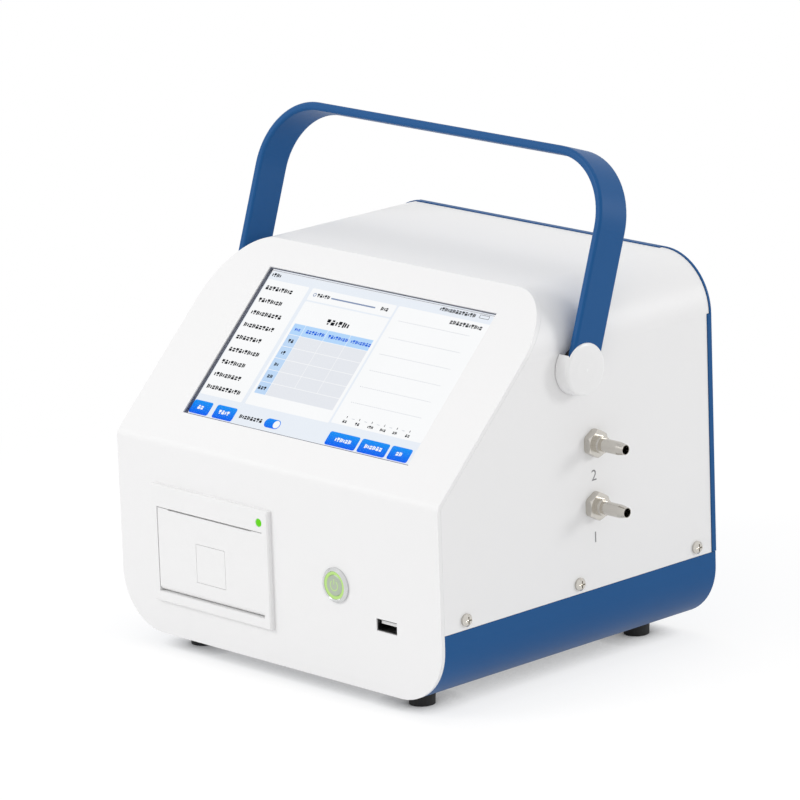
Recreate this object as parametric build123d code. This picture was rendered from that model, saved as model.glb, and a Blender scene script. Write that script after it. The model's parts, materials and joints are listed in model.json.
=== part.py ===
from build123d import *
from math import cos, radians, sin, tan
import os

# Airborne particle counter. Millimetres, +Z up, front towards -Y.
# The origin lies on the bench, under the middle of the body.

# ---- Driving dimensions ----

# body
body_w = 220.0          # width across the folded sides
body_d = 184.0          # front face to rear face
body_h = 180.0          # tray bottom to cover top
corner_r = 28.0         # the four long bends, seen from the front
slope_rise = 84.0       # height of the sloping display face
slope_deg = 45.0        # its slope
bend_r = 5.0            # outside radius of that bend
tray_h = 35.0           # height of the blue tray's sides
foot_h = 8.0
sheet = 1.5             # folded steel sheet
panel_t = 2.0           # front plate
flange_l = 14.0         # depth of its flange under the cover's top
flange_inset = 7.0      # its ends, in from the long bends
seam = 0.2              # gap left where sheets meet
front_seam = 0.08       # gap behind the front plate

# display
screen_w = 154.3
screen_h = 85.2
screen_x = 1.5          # centre of the window
screen_rise = 0.9       # its centre above the middle of the slope
module_rim_x = 5.35     # the display module beyond the window
module_rim_s = 7.4
gasket_t = 0.5
gasket_lip = 0.55       # its lip round the glass
lip_gap = 0.05          # from the lip to the window's edge and to the glass
glass_sink = 0.7        # glass and lip below the plate's face
module_t = 5.7

# printer
printer_inset = 66.4    # centre of the printer, in from the left side
printer_h = 46.0        # height of its centre over the tray's bottom
door_w = 73.4
door_h = 41.5
rim_side = 4.3          # the frame's rims round the door
rim_low = 5.5
rim_high = 11.0
bezel_proud = 2.7
door_t = 3.2
door_gap = 0.3
hinge_back = 3.0        # hinge line behind the door's face, and the radius of its rounded edge
paper_slit = 0.9        # height of the slit over the door
paper_w = 57.5
paper_room = 1.5        # side play of the paper in its bin
roll_r = 17.0
core_r = 6.0
platen_r = 4.0
platen_back = 8.2       # behind the door
platen_drop = 7.9       # below the door's upper edge
latch_w = 20.0
latch_rise = 18.2       # latch's middle over the door's lower edge
cup_depth = 6.0

# power button
button_inset = 69.25    # in from the right side
button_h = 47.1
button_hole_r = 8.0
button_lip = 0.5
button_wall = 1.35
button_ring_w = 1.2
button_stem = 20.0

# USB socket
usb_inset = 36.1        # in from the right side
usb_h = 33.1
usb_w = 13.5
usb_open_h = 5.9
usb_board_w = 22.0
usb_board_l = 22.0      # behind the front face
usb_angle_h = 14.0
tongue_back = 1.7       # behind the shell's edge

# hose fittings
fitting_y = 10.3
sample_h = 75.5
fitting_pitch = 30.3    # the purge fitting above the sample fitting
barb_r = 3.2
barb_bore_r = 2.2
barb_length = 21.0
stem_r = 5.0
spout_r = 2.9           # spouts that the inner hoses push on
hex_flats = 12.2
hex_t = 4.0

# handle
hub_y = -0.9
hub_drop = 35.7         # hub line below the top
handle_tilt = 18.45     # leaning back from upright
handle_reach = 99.8     # hub line to the outside of the grip
band_gap = 2.8          # between the cover and the band
band_w = 18.7
band_t = 4.1
band_edge_r = 1.5
handle_r = 34.6
hub_r = 12.8
cap_wall = 1.1
cap_room = 1.3          # round the band's eye
cap_skirt = 0.9         # left of the cap's wall beside its slot
backing_w = 36.0        # stiffening plates behind the hubs
backing_t = 2.0
backing_gap = 7.5       # over the purge fitting's nut
hub_nut_flats = 10.0
hub_nut_t = 5.0
pivot_r = 4.0
running = 0.05          # radial clearance of a turning fit

# screws and feet
screw_front = 15.9      # first screw behind the front face
screw_middle = -1.3     # second one from the body's middle
screw_rear = 13.2       # last one before the rear face
screw_rise = 4.7        # over the tray's edge
screw_r = 1.5
screw_head_r = 3.1
screw_head_t = 2.0
foot_r = 6.2
foot_inset = 34.5       # in from the sides
foot_front = 19.5
foot_rear = 20.0

# rear
rear_edge = 2.6         # depth of the rear plate's folded edge
rear_rim = 1.0          # thickness of its rim behind the cover's end
rear_proud = 0.5        # rim and edges stand out of the cover
rear_flange = 20.0      # depth of its inner flanges
strip_left = 25.0       # its upper edge, in from the left side
strip_right = 30.0      # and from the right side
fan_x = -52.0
fan_h = 122.0
fan_size = 50.0
fan_t = 15.0
fan_rim = 1.5
fan_hub_r = 11.0
slot_pitch = 6.0
inlet_x = 62.0
inlet_h = 72.0
inlet_r = 5.5

# inside
shelf_h = 58.0
shelf_gap = 6.0         # between the shelf's legs and the body's sides
shelf_front = 70.0      # behind the front face
shelf_rear = 16.0       # before the rear face
sensor_w = 60.0
sensor_d = 50.0
sensor_inset = 30.0     # the sensor block's right face, in from the side
filter_r = 17.0
filter_l = 54.0
filter_gap = 1.8        # over the sensor block
pump_l = 80.0
pump_r = 16.0
pump_h = 26.0
hose_r = 4.2
hose_bend = 9.0
stem_gap = 0.05         # hoses on their spouts, saddles on the filter
board_t = 1.6
standoff_l = 8.0        # under the main board
board_margin = 4.0      # the main board's edge, in from the shelf's
battery_inset = 32.0    # in from the left side
battery_t = 38.5
pump_room = 14.0        # between the battery and the pump
battery_gap = 2.0       # between the battery and the foot screws' axes
battery_front = 6.0     # behind the shelf's front edge
battery_edge_r = 6.0

# ---- Places that follow from them ----

front_y = -body_d / 2
rear_y = body_d / 2
side_x = body_w / 2
floor_z = foot_h
top_z = floor_z + body_h
bend_z = top_z - slope_rise
tray_z = floor_z + tray_h
hub_z = top_z - hub_drop
lip_x = side_x - sheet            # outside of the tray's inner lip
flange_x = lip_x - sheet          # outside of the plates' flanges
flat_x = side_x - corner_r        # where the top and bottom start to bend
printer_x = printer_inset - side_x
button_x = side_x - button_inset
usb_x = side_x - usb_inset
screw_h = tray_h + screw_rise
screw_ys = (screw_front, body_d / 2 + screw_middle, body_d - screw_rear)
foot_x = side_x - foot_inset
foot_ys = (foot_front, body_d - foot_rear)
fan_bore_r = fan_size / 2 - fan_rim
screen_s = slope_rise / sin(radians(slope_deg)) / 2 + screen_rise
module_w = screen_w + 2 * module_rim_x
module_h = screen_h + 2 * module_rim_s
bezel_w = door_w + 2 * rim_side
bezel_h = door_h + rim_low + rim_high
door_low = printer_h - bezel_h / 2 + rim_low
purge_h = sample_h + fitting_pitch
handle_half_w = side_x + band_gap + band_t
hub_proud = band_gap + band_t + cap_wall
everywhere = (-2 * body_w, 2 * body_w)
slope = Plane(
    origin=(0, front_y, bend_z),
    x_dir=(1, 0, 0),
    z_dir=(0, -sin(radians(slope_deg)), cos(radians(slope_deg))),
)
nodes = {}


# ---- Shape helpers ----

def around(middle, width):
    """The (low, high) pair of a width about its middle."""
    return (middle - width / 2, middle + width / 2)


def block(x, y, z):
    """A box from its three (low, high) pairs."""
    pairs = (x, y, z)
    size = [high - low for low, high in pairs]
    centre = [(low + high) / 2 for low, high in pairs]
    return Pos(*centre) * Box(*size)


def rod(radius, start, end):
    """A round bar between two points."""
    along = Vector(*end) - Vector(*start)
    return extrude(Plane(origin=start, z_dir=along) * Circle(radius), amount=along.length)


def lathe(profile, at, toward):
    """Revolve (radius, height) points about the line from a point in a direction."""
    face = Plane.XZ * make_face(Polyline(*profile, close=True))
    return Plane(origin=at, z_dir=toward) * revolve(face, Axis.Z)


def hexagon(across_flats, at, toward, height):
    """A hexagonal bar, its base at a point."""
    outline = RegularPolygon(across_flats / 2, 6, major_radius=False)
    return extrude(Plane(origin=at, z_dir=toward) * outline, amount=height)


def hose(points):
    """A soft hose through points, its corners rounded."""
    path = FilletPolyline(*points, radius=hose_bend) if len(points) > 2 else Line(*points)
    section = Circle(hose_r) - Circle(spout_r + stem_gap)
    return sweep(Plane(origin=path @ 0, z_dir=path % 0) * section, path=path)


def body_block(inset, y):
    """The body's rounded outline, drawn in all round, between two y places."""
    outline = RectangleRounded(body_w - 2 * inset, body_h - 2 * inset, corner_r - inset)
    middle = (0, y[0], floor_z + body_h / 2)
    return extrude(Plane(origin=middle, x_dir=(1, 0, 0), z_dir=(0, 1, 0)) * outline, amount=y[1] - y[0])


def behind_front(depth, radius):
    """The space behind the front's two faces, both moved back by a depth."""
    far = body_w + body_h
    bend = (front_y + depth, bend_z - depth * tan(radians((90 - slope_deg) / 2)))
    top = (bend[0] + far / tan(radians(slope_deg)), bend[1] + far)
    back = top[0] + far
    outline = make_face(Polyline((bend[0], -far), bend, top, (back, top[1]), (back, -far), close=True))
    corner = outline.vertices().sort_by_distance((*bend, 0))[0]
    return extrude(Plane.YZ * fillet(corner, radius), amount=body_w, both=True)


def from_front(y):
    """A y place, given as a distance behind the front face."""
    return front_y + y


def both_sides(shape):
    """A shape and its mirror image on the other side of the body."""
    return shape + mirror(shape, Plane.YZ)


def pan_screw(at, toward, length, recessed=False):
    """A pan-head screw: its head stands in the direction, its shank runs the other way."""
    edge = screw_head_t / 2
    crown = screw_head_r * 0.7
    profile = [(0, -length), (screw_r, -length), (screw_r, 0), (screw_head_r, 0), (screw_head_r, edge)]
    profile += [(crown, screw_head_t), (0, screw_head_t)]
    screw = lathe(profile, at, toward)
    if recessed:
        head = Plane(origin=at, z_dir=toward)
        arm = screw_head_r * 1.2
        slot = (screw_head_t * 0.5, screw_head_t * 2)
        for x, y in ((arm, 0.7), (0.7, arm)):
            screw -= head * block(around(0, x), around(0, y), slot)
    return screw


# ---- Enclosure ----

def printer_place():
    """The middle of the printer's door opening: x, z."""
    return printer_x, floor_z + door_low + door_h / 2


def make_front_panel():
    """The folded front plate: a lower face, a sloping one, flanges under the cover and the cut-outs."""
    whole = body_block(0, (front_y, rear_y))
    plate = whole & (behind_front(0, bend_r) - behind_front(panel_t, bend_r - panel_t))
    side_flange = block(
        (flange_x - sheet, flange_x),
        (from_front(panel_t / 2), from_front(screw_front + 8)),
        (floor_z + corner_r + 2, bend_z - 8),
    )
    slope_run = slope_rise / tan(radians(slope_deg))
    top_flange = block(
        around(0, 2 * (flat_x - flange_inset)),
        (from_front(slope_run - 0.4), from_front(slope_run + flange_l)),
        (top_z - 2 * sheet, top_z - sheet),
    )
    plate += both_sides(side_flange) + top_flange
    through = (front_y - 1, from_front(panel_t + 1))
    plate -= slope * block(around(screen_x, screen_w), around(screen_s, screen_h), (-2 * panel_t, panel_t))
    sleeve_cut = around(printer_x, sleeve_w + 2 * sleeve_gap)
    plate -= block(sleeve_cut, through, around(floor_z + printer_h, bezel_h - 4))
    plate -= block(around(usb_x, usb_w), through, around(floor_z + usb_h, usb_open_h))
    button_z = floor_z + button_h
    plate -= rod(button_hole_r + 0.1, (button_x, through[0], button_z), (button_x, through[1], button_z))
    for side in (-1, 1):
        plate -= side_hole(side, screw_ys[0])
    return plate


def side_hole(side, y, radius=screw_r + 0.1, height=screw_h, depth=8):
    """The drill for a hole through one side of the body."""
    z = floor_z + height
    return rod(radius, (side * (side_x + 1), from_front(y), z), (side * (side_x - depth), from_front(y), z))


rear_strip_side = (tray_z + seam, top_z - corner_r)
rear_strip_top = (strip_left - side_x, side_x - strip_right)


def rear_edge_strips(grow):
    """The folded edges of the rear plate that lie in the cover's notches."""
    depth = (rear_y - rear_edge - grow, rear_y + grow)
    inner = side_x - sheet - seam
    side_z = (rear_strip_side[0] - seam * (grow > 0), rear_strip_side[1] + grow)
    side = block((inner - grow, side_x + rear_proud + grow), depth, side_z)
    top_x = (rear_strip_top[0] - grow, rear_strip_top[1] + grow)
    top = block(top_x, depth, (top_z - sheet - seam - grow, top_z + rear_proud + grow))
    return both_sides(side) + top


def make_top_cover():
    """The folded cover: two sides and a top with two long bends, open at the front, rear and below."""
    shell = body_block(0, (front_y, rear_y)) - body_block(sheet, (front_y - 1, rear_y + 1))
    shell &= behind_front(panel_t + front_seam, bend_r - panel_t)
    shell &= block(everywhere, (front_y - 1, rear_y - rear_rim - seam), (tray_z, top_z + 1))
    shell -= rear_edge_strips(seam)
    for side in (-1, 1):
        for y in screw_ys:
            shell -= side_hole(side, y)
        shell -= side_hole(side, hub_y - front_y, pivot_stem_r + 0.2, body_h - hub_drop)
    for height in (purge_h, sample_h):
        shell -= side_hole(1, fitting_y - front_y, stem_r + 0.1, height)
    return shell


def make_base_tray():
    """The tray: a bottom, two long bends, low sides and inner lips that take the screws."""
    shell = body_block(0, (front_y, rear_y)) - body_block(sheet, (front_y - 1, rear_y + 1))
    shell &= behind_front(panel_t + front_seam, bend_r - panel_t)
    shell &= block(everywhere, everywhere, (floor_z - 1, tray_z - seam))
    lip = block(
        (lip_x - sheet, lip_x),
        (from_front(panel_t + front_seam), from_front(body_d - screw_rear + 7.2)),
        (tray_z - 3, floor_z + screw_h + 7),
    )
    shell += both_sides(lip)
    for side in (-1, 1):
        for y in screw_ys:
            shell -= side_hole(side, y)
        for y in foot_ys:
            place = (side * foot_x, from_front(y))
            shell -= rod(screw_r + 0.1, (*place, floor_z - 1), (*place, floor_z + 3))
    return shell


def make_rear_panel():
    """The rear plate: a rim behind the cover, folded edges, flanges, fan slots and the inlet's hole."""
    plate = body_block(sheet + seam, (rear_y - sheet, rear_y))
    rim = body_block(-rear_proud, (rear_y - rear_rim, rear_y))
    plate += rim & block(everywhere, everywhere, (rear_strip_side[0], top_z + 1))
    plate += rear_edge_strips(0)
    flange = block(
        (flange_x - sheet, flange_x),
        (rear_y - rear_flange, rear_y - sheet / 2),
        (tray_z, rear_strip_side[1] - 2),
    )
    plate += both_sides(flange)
    depth = (rear_y - sheet - 1, rear_y + 1)
    reach = fan_bore_r - 2.5
    steps = int((reach - 2) / slot_pitch)
    for index in range(-steps, steps + 1):
        rise = index * slot_pitch
        width = 2 * (reach ** 2 - rise ** 2) ** 0.5
        plate -= block(around(fan_x, width), depth, around(floor_z + fan_h + rise, slot_pitch / 2))
    for x, z in fan_screw_places():
        plate -= rod(screw_r + 0.1, (x, depth[0], z), (x, depth[1], z))
    centre = (inlet_x, depth[0], floor_z + inlet_h)
    plate -= rod(inlet_r + 0.1, centre, (inlet_x, depth[1], floor_z + inlet_h))
    for side in (-1, 1):
        plate -= side_hole(side, screw_ys[2])
    return plate


def make_side_screws():
    """Three pan-head screws a side, through the cover into the tray's lips."""
    screws = []
    for side in (-1, 1):
        for y in screw_ys:
            place = (side * side_x, from_front(y), floor_z + screw_h)
            screws.append(pan_screw(place, (side, 0, 0), 3 * sheet + 0.5, recessed=True))
    return Compound(children=screws)


def foot_places():
    """The x, y places of the four feet."""
    return [(side * foot_x, from_front(y)) for side in (-1, 1) for y in foot_ys]


def make_foot(place):
    """A turned rubber foot with a sunk hole for its screw."""
    profile = [(screw_r + 0.2, foot_h), (foot_r + 0.4, foot_h), (foot_r, 0)]
    profile += [(screw_head_r + 0.5, 0), (screw_head_r + 0.5, foot_h / 2), (screw_r + 0.2, foot_h / 2)]
    return lathe(profile, (*place, 0), (0, 0, 1))


def make_foot_screws():
    """One screw up through each foot into the tray."""
    return Compound(children=[pan_screw((*place, foot_h / 2), (0, 0, -1), foot_h) for place in foot_places()])


# ---- Display ----

module_depth = panel_t + gasket_t
frame_depth = module_depth + module_t
frame_t = 1.2
display_spacer_l = 6.0
board_depth = frame_depth + frame_t + display_spacer_l
board_w = module_w - 15
board_h = module_h - 12
pillar_r = 3.0
pillar_inset = 9.0      # from the module's upper and lower edges
pillar_x = module_w / 2 + pillar_r + 1.5
pillar_s = module_h / 2 - pillar_inset
spacer_r = 2.5


def slope_slab(width, height, depth, thickness):
    """A slab behind the display window, parallel to the slope."""
    return slope * block(around(screen_x, width), around(screen_s, height), (-depth - thickness, -depth))


def slope_pillars(radius, x, s, depth, length):
    """Four round pillars square to the slope, about the window's middle."""
    pillars = []
    for x_side in (-1, 1):
        for s_side in (-1, 1):
            place = (screen_x + x_side * x, screen_s + s_side * s)
            pillars.append(slope * rod(radius, (*place, -depth), (*place, -depth - length)))
    return Compound(children=pillars)


def make_display_gasket():
    """A black rubber frame under the plate, with a lip that stands in the window round the glass."""
    width = screen_w - 2 * lip_gap
    height = screen_h - 2 * lip_gap
    lip = slope_slab(width, height, glass_sink, module_depth - glass_sink)
    hole = slope_slab(width - 2 * gasket_lip, height - 2 * gasket_lip, 0, 3 * panel_t)
    return slope_slab(module_w, module_h, panel_t, gasket_t) + lip - hole


def make_touch_glass():
    """The cover glass, bonded on the display and standing in the window."""
    edge = gasket_lip + 2 * lip_gap
    width = screen_w - 2 * edge
    height = screen_h - 2 * edge
    return slope_slab(width, height, glass_sink, module_depth - glass_sink)


def make_display_frame():
    """A sheet frame that holds the display module up against the plate."""
    frame = slope_slab(2 * pillar_x + 8, module_h, frame_depth, frame_t)
    frame -= slope_slab(board_w - 9, board_h - 8, frame_depth - 1, frame_t + 2)
    frame -= slope_pillars(screw_r + 0.1, pillar_x, pillar_s, frame_depth - 1, frame_t + 2)
    return frame


def make_display_board():
    """The controller board behind the display, with its chips and sockets."""
    back = Pos(screen_x, screen_s, -board_depth - board_t)
    processor = block(around(-board_w / 4, 18), around(12, 18), (-2.5, 0))
    memory = block(around(-12, 14), around(-8, 14), (-1.6, 0))
    ribbon_socket = block(around(0, 40), around(board_h / 2 - 14, 6), (-5, 0))
    power_socket = block(around(board_w / 3, 16), around(-14, 9), (-7, 0))
    parts = processor + memory + ribbon_socket + power_socket
    return slope_slab(board_w, board_h, board_depth, board_t) + slope * back * parts


# ---- Printer ----

hinge_y = front_y - bezel_proud + door_gap + hinge_back
hinge_z = floor_z + door_low + hinge_back
hinge_pin_r = 1.5
door_face_y = front_y - bezel_proud + door_gap
door_inner_y = door_face_y + door_t
platen_y = door_inner_y + platen_back
platen_z = floor_z + door_low + door_h - platen_drop
shaft_r = 1.5
arm_x = door_w / 2 - 1.2        # outside of the door's arms, from the printer's middle
arm_t = 2.0
sleeve_depth = 4.0
sleeve_w = bezel_w - 4
sleeve_gap = 0.3        # between the sleeve and the plate's cut-out
sleeve_z = (floor_z + door_low - 2.2, floor_z + printer_h + bezel_h / 2 - 2.2)
bin_wall = 2.0
bin_inner_w = paper_w + paper_room
bin_depth = 52.0
bin_floor = sleeve_z[0] + bin_wall
roll_room = 1.0         # how much larger the bin's rounded floor is than the roll
roll_rest = 0.05
roll_y = from_front(bin_depth - bin_wall - roll_r - roll_room)
roll_z = bin_floor + roll_r + roll_rest
latch_hole = 0.4
latch_z = floor_z + door_low + latch_rise


def opening(grow, y):
    """The door's opening as a block, larger all round by a margin."""
    x, z = printer_place()
    return block(around(x, door_w + 2 * grow), y, around(z, door_h + 2 * grow))


def make_printer_bezel():
    """The printer's front frame with the sleeve that carries the door's hinge pin."""
    height = around(floor_z + printer_h, bezel_h)
    plate = block(around(printer_x, bezel_w), (front_y - bezel_proud, front_y), height)
    front_edges = plate.edges().group_by(Axis.Y)[0]
    plate = chamfer(front_edges, 0.6)
    sleeve = block(around(printer_x, sleeve_w), (front_y, from_front(sleeve_depth)), sleeve_z)
    frame = plate + sleeve - opening(door_gap, (front_y - 5, from_front(sleeve_depth + 1)))
    frame -= hinge_line(hinge_pin_r, sleeve_w / 2 + 0.5)
    led_x, led_z = led_place()
    frame -= rod(2.05, (led_x, front_y - 4, led_z), (led_x, from_front(sleeve_depth + 1), led_z))
    return frame


def hinge_line(radius, half):
    """A round bar on the door's hinge line."""
    return rod(radius, (printer_x - half, hinge_y, hinge_z), (printer_x + half, hinge_y, hinge_z))


def led_place():
    """The status lamp, in the frame's upper right corner: x, z."""
    return printer_x + bezel_w / 2 - 5.8, floor_z + printer_h + bezel_h / 2 - 6.1


def make_status_led():
    """A small domed lamp with its flange."""
    x, z = led_place()
    profile = [(0, -6), (2, -6), (2, 1.9), (1.5, 2.9), (0.8, 3.3), (0, 3.4)]
    return lathe(profile, (x, front_y, z), (0, -1, 0))


def make_printer_door():
    """The lid: a plate with a rounded lower edge on the hinge and two arms for the platen."""
    x, z = printer_place()
    low, high = around(z, door_h)
    width = around(x, door_w)
    door = block(width, (door_face_y, door_inner_y), (hinge_z, high - 0.2))
    door += rod(hinge_back, (width[0], hinge_y, hinge_z), (width[1], hinge_y, hinge_z))
    slit_z = (high + door_gap - paper_slit, high + 1)
    door -= block(around(x, paper_w + 1.2), (door_face_y - 1, door_inner_y + 1), slit_z)
    for side in (-1, 1):
        arm = sorted((x + side * arm_x, x + side * (arm_x - arm_t)))
        lug = rod(5, (arm[0], platen_y, platen_z), (arm[1], platen_y, platen_z))
        door += lug + block(arm, (door_inner_y - 0.5, platen_y), (platen_z - 5, platen_z + 4.2))
    door -= rod(shaft_r + running, (width[0], platen_y, platen_z), (width[1], platen_y, platen_z))
    door -= hinge_line(hinge_pin_r + running, door_w / 2 + 1)
    hole = latch_w + latch_hole
    door -= block(around(x, hole), (door_face_y - 1, door_inner_y + 1), around(latch_z, hole - 1.2))
    return door


def hinge_barrel(grow):
    """The door's rounded lower edge as a full bar, with a margin."""
    return hinge_line(hinge_back + grow, door_w / 2 + 1)


def make_door_latch():
    """The square push latch with its inner flange."""
    x = printer_x
    height = latch_w - 1.2
    latch = block(around(x, latch_w), (door_face_y, door_inner_y + 1.2), around(latch_z, height))
    flange = (door_inner_y + 0.05, door_inner_y + 1.2)
    return latch + block(around(x, latch_w + 3), flange, around(latch_z, height))


def make_latch_cup():
    """The cup on the door's back that guides the latch."""
    x = printer_x
    depth = (door_inner_y, door_inner_y + cup_depth)
    cup = block(around(x, latch_w + 7), depth, around(latch_z, latch_w + 2))
    hollow = (depth[0] - 1, depth[1] - 1.2)
    cup -= block(around(x, latch_w + 4), hollow, around(latch_z, latch_w - 0.4))
    return cup - hinge_barrel(0.1)


def make_printer_bin():
    """The paper bin behind the frame, open in front, with a rounded floor."""
    depth = (from_front(sleeve_depth), from_front(bin_depth))
    outer = block(around(printer_x, bin_inner_w + 2 * bin_wall), depth, sleeve_z)
    rim = block(around(printer_x, sleeve_w), (depth[0], depth[0] + 2), sleeve_z)
    rim -= opening(door_gap, (front_y, from_front(sleeve_depth + 3)))
    cavity = block(
        around(printer_x, bin_inner_w),
        (from_front(0), from_front(bin_depth - bin_wall)),
        (bin_floor, sleeve_z[1] - bin_wall),
    )
    back_low = cavity.edges().filter_by(Axis.X).sort_by_distance((printer_x, depth[1], bin_floor))[0]
    cavity = fillet(back_low, roll_r + roll_room)
    swing = platen_r + 2.5
    notch_w = around(printer_x, bin_inner_w + 20)
    notch = block(notch_w, (front_y, platen_y + swing), around(platen_z, 2 * swing))
    frame = outer - cavity - notch - hinge_barrel(door_gap) + rim
    led_x, led_z = led_place()
    return frame - rod(2.2, (led_x, front_y, led_z), (led_x, from_front(7), led_z))


def make_paper_roll():
    """A wound roll of paper on its core."""
    half = paper_w / 2
    roll = rod(roll_r, (printer_x - half, roll_y, roll_z), (printer_x + half, roll_y, roll_z))
    return roll - rod(core_r, (printer_x - half - 1, roll_y, roll_z), (printer_x + half + 1, roll_y, roll_z))


def make_platen_shaft():
    """The steel shaft across the door's two arms."""
    reach = arm_x + 0.8
    return rod(shaft_r, (printer_x - reach, platen_y, platen_z), (printer_x + reach, platen_y, platen_z))


def make_platen_roller():
    """The rubber roller on that shaft."""
    half = paper_w / 2
    roller = rod(platen_r, (printer_x - half, platen_y, platen_z), (printer_x + half, platen_y, platen_z))
    return roller - make_platen_shaft()


head_y = platen_y + platen_r + 0.15


def make_print_head():
    """The ceramic head behind the platen."""
    return block(around(printer_x, paper_w), (head_y, head_y + 1.2), (platen_z - 4, platen_z + 6))


def make_head_plate():
    """The aluminium plate that holds the head under the bin's roof."""
    roof = sleeve_z[1] - bin_wall
    plate = block(around(printer_x, bin_inner_w - 1), (head_y + 1.2, head_y + 3.2), (platen_z - 3, roof))
    fin = block(around(printer_x, bin_inner_w - 1), (head_y + 3.2, head_y + 12), (roof - 2, roof))
    return plate + fin


# ---- Power button and USB ----

button_gap = 0.15


def make_button_bezel():
    """The turned steel body of the push button, with its bevelled head."""
    bore = button_hole_r - button_wall
    reach = button_hole_r + button_lip
    profile = [(bore, -button_stem), (button_hole_r, -button_stem), (button_hole_r, 0), (reach, 0)]
    profile += [(reach, 0.8), (reach - 1.1, 1.9), (bore + 0.45, 1.9), (bore, 1.5)]
    return lathe(profile, (button_x, front_y, floor_z + button_h), (0, -1, 0))


def make_button_ring():
    """The clear ring that the lamp shines through."""
    outer = button_hole_r - button_wall - button_gap
    inner = outer - button_ring_w
    profile = [(inner, -6), (outer, -6), (outer, 1.3), (inner, 1.3)]
    return lathe(profile, (button_x, front_y, floor_z + button_h), (0, -1, 0))


def make_button_cap():
    """The steel cap and its stem."""
    radius = button_hole_r - button_wall - button_gap - button_ring_w - running
    profile = [(0, -14), (4.5, -14), (4.5, -6.2), (radius, -6.2)]
    profile += [(radius, 1.1), (radius - 0.4, 1.5), (0, 1.5)]
    return lathe(profile, (button_x, front_y, floor_z + button_h), (0, -1, 0))


def make_button_nut():
    """The nut that clamps the button behind the plate."""
    at = (button_x, from_front(panel_t), floor_z + button_h)
    nut = hexagon(19, at, (0, 1, 0), 3)
    return nut - rod(button_hole_r + 0.05, at, (button_x, from_front(panel_t + 4), floor_z + button_h))


def make_button_block():
    """The contact block with its four tags."""
    z = floor_z + button_h
    back = button_stem + 12
    contact = rod(button_hole_r, (button_x, from_front(button_stem), z), (button_x, from_front(back), z))
    tags_y = (from_front(back - 0.5), from_front(back + 6))
    for dx in (-3, 3):
        for dz in (-3, 3):
            contact += block(around(button_x + dx, 0.8), tags_y, around(z + dz, 2.2))
    return contact


usb_shell_y = (from_front(0.5), from_front(14.5))
usb_wall = 0.3
usb_fit = 0.2           # gap between the shell and the cut-out


def make_usb_shell():
    """The folded metal shell of the socket."""
    width = usb_w - 2 * usb_fit
    height = usb_open_h - 2 * usb_fit
    z = floor_z + usb_h
    shell = block(around(usb_x, width), usb_shell_y, around(z, height))
    inside = (usb_shell_y[0] - 1, usb_shell_y[1] - usb_wall)
    return shell - block(around(usb_x, width - 2 * usb_wall), inside, around(z, height - 2 * usb_wall))


def make_usb_tongue():
    """The plastic tongue with the contacts."""
    z = floor_z + usb_h + usb_open_h / 2 - usb_fit - usb_wall
    width = around(usb_x, usb_w - 2.4)
    back = usb_shell_y[1] - usb_wall
    tongue = block(width, (usb_shell_y[0] + tongue_back, back), (z - 2.2, z - 0.4))
    return tongue + block(width, (back - 2.7, back), (z - 4.6, z))


def make_usb_board():
    """The little board that carries the socket, on its angle bracket."""
    top = floor_z + usb_h - usb_open_h / 2 + usb_fit
    front = from_front(panel_t)
    middle = front + sheet
    width = around(usb_x, usb_board_w)
    board = block(width, (middle, from_front(usb_board_l)), (top - board_t, top))
    angle = block(width, (front, middle), (top - usb_angle_h, top))
    return board + angle


# ---- Hose fittings ----

fitting_in = 18.0       # length of a fitting inside the cover
nut_t = 3.5
nut_flats = 2 * stem_r + 4


def make_fitting(height):
    """A bulkhead barb: hexagon outside, barbed spout, threaded stem and inner spout."""
    at = (side_x, fitting_y, floor_z + height)
    flat = hex_flats / 2
    corner = flat / cos(radians(30))
    crown = [(0, -1), (flat, -1), (corner, 0.9), (corner, hex_t - 0.9), (flat, hex_t), (0, hex_t)]
    fitting = hexagon(hex_flats, at, (1, 0, 0), hex_t) & lathe(crown, at, (1, 0, 0))
    tip = barb_length
    outer = [(0, 0), (barb_r + 1, 0), (barb_r + 1, hex_t + 3), (barb_r, hex_t + 3)]
    outer += [(barb_r, tip - 4), (barb_r - 0.7, tip), (0, tip)]
    fitting += lathe(outer, at, (1, 0, 0))
    inner = [(0, 0), (stem_r, 0), (stem_r, -fitting_in / 2), (spout_r, -fitting_in / 2)]
    fitting += lathe(inner + [(spout_r, -fitting_in), (0, -fitting_in)], at, (1, 0, 0))
    start = (side_x - fitting_in - 1, fitting_y, floor_z + height)
    return fitting - rod(barb_bore_r, start, (side_x + tip + 1, fitting_y, floor_z + height))


def make_fitting_nuts():
    """The nuts on the stems, inside the cover."""
    nuts = []
    for height in (purge_h, sample_h):
        at = (side_x - sheet, fitting_y, floor_z + height)
        nut = hexagon(nut_flats, at, (-1, 0, 0), nut_t)
        nuts.append(nut - rod(stem_r + 0.05, (side_x, fitting_y, at[2]), (side_x - 10, fitting_y, at[2])))
    return Compound(children=nuts)


# ---- Handle ----

pivot_stem_r = 3.0
pivot_head_r = 5.9
pivot_head_t = 1.2
pivot_recess = 1.5      # depth of the band's recess for the bolt's head


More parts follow.
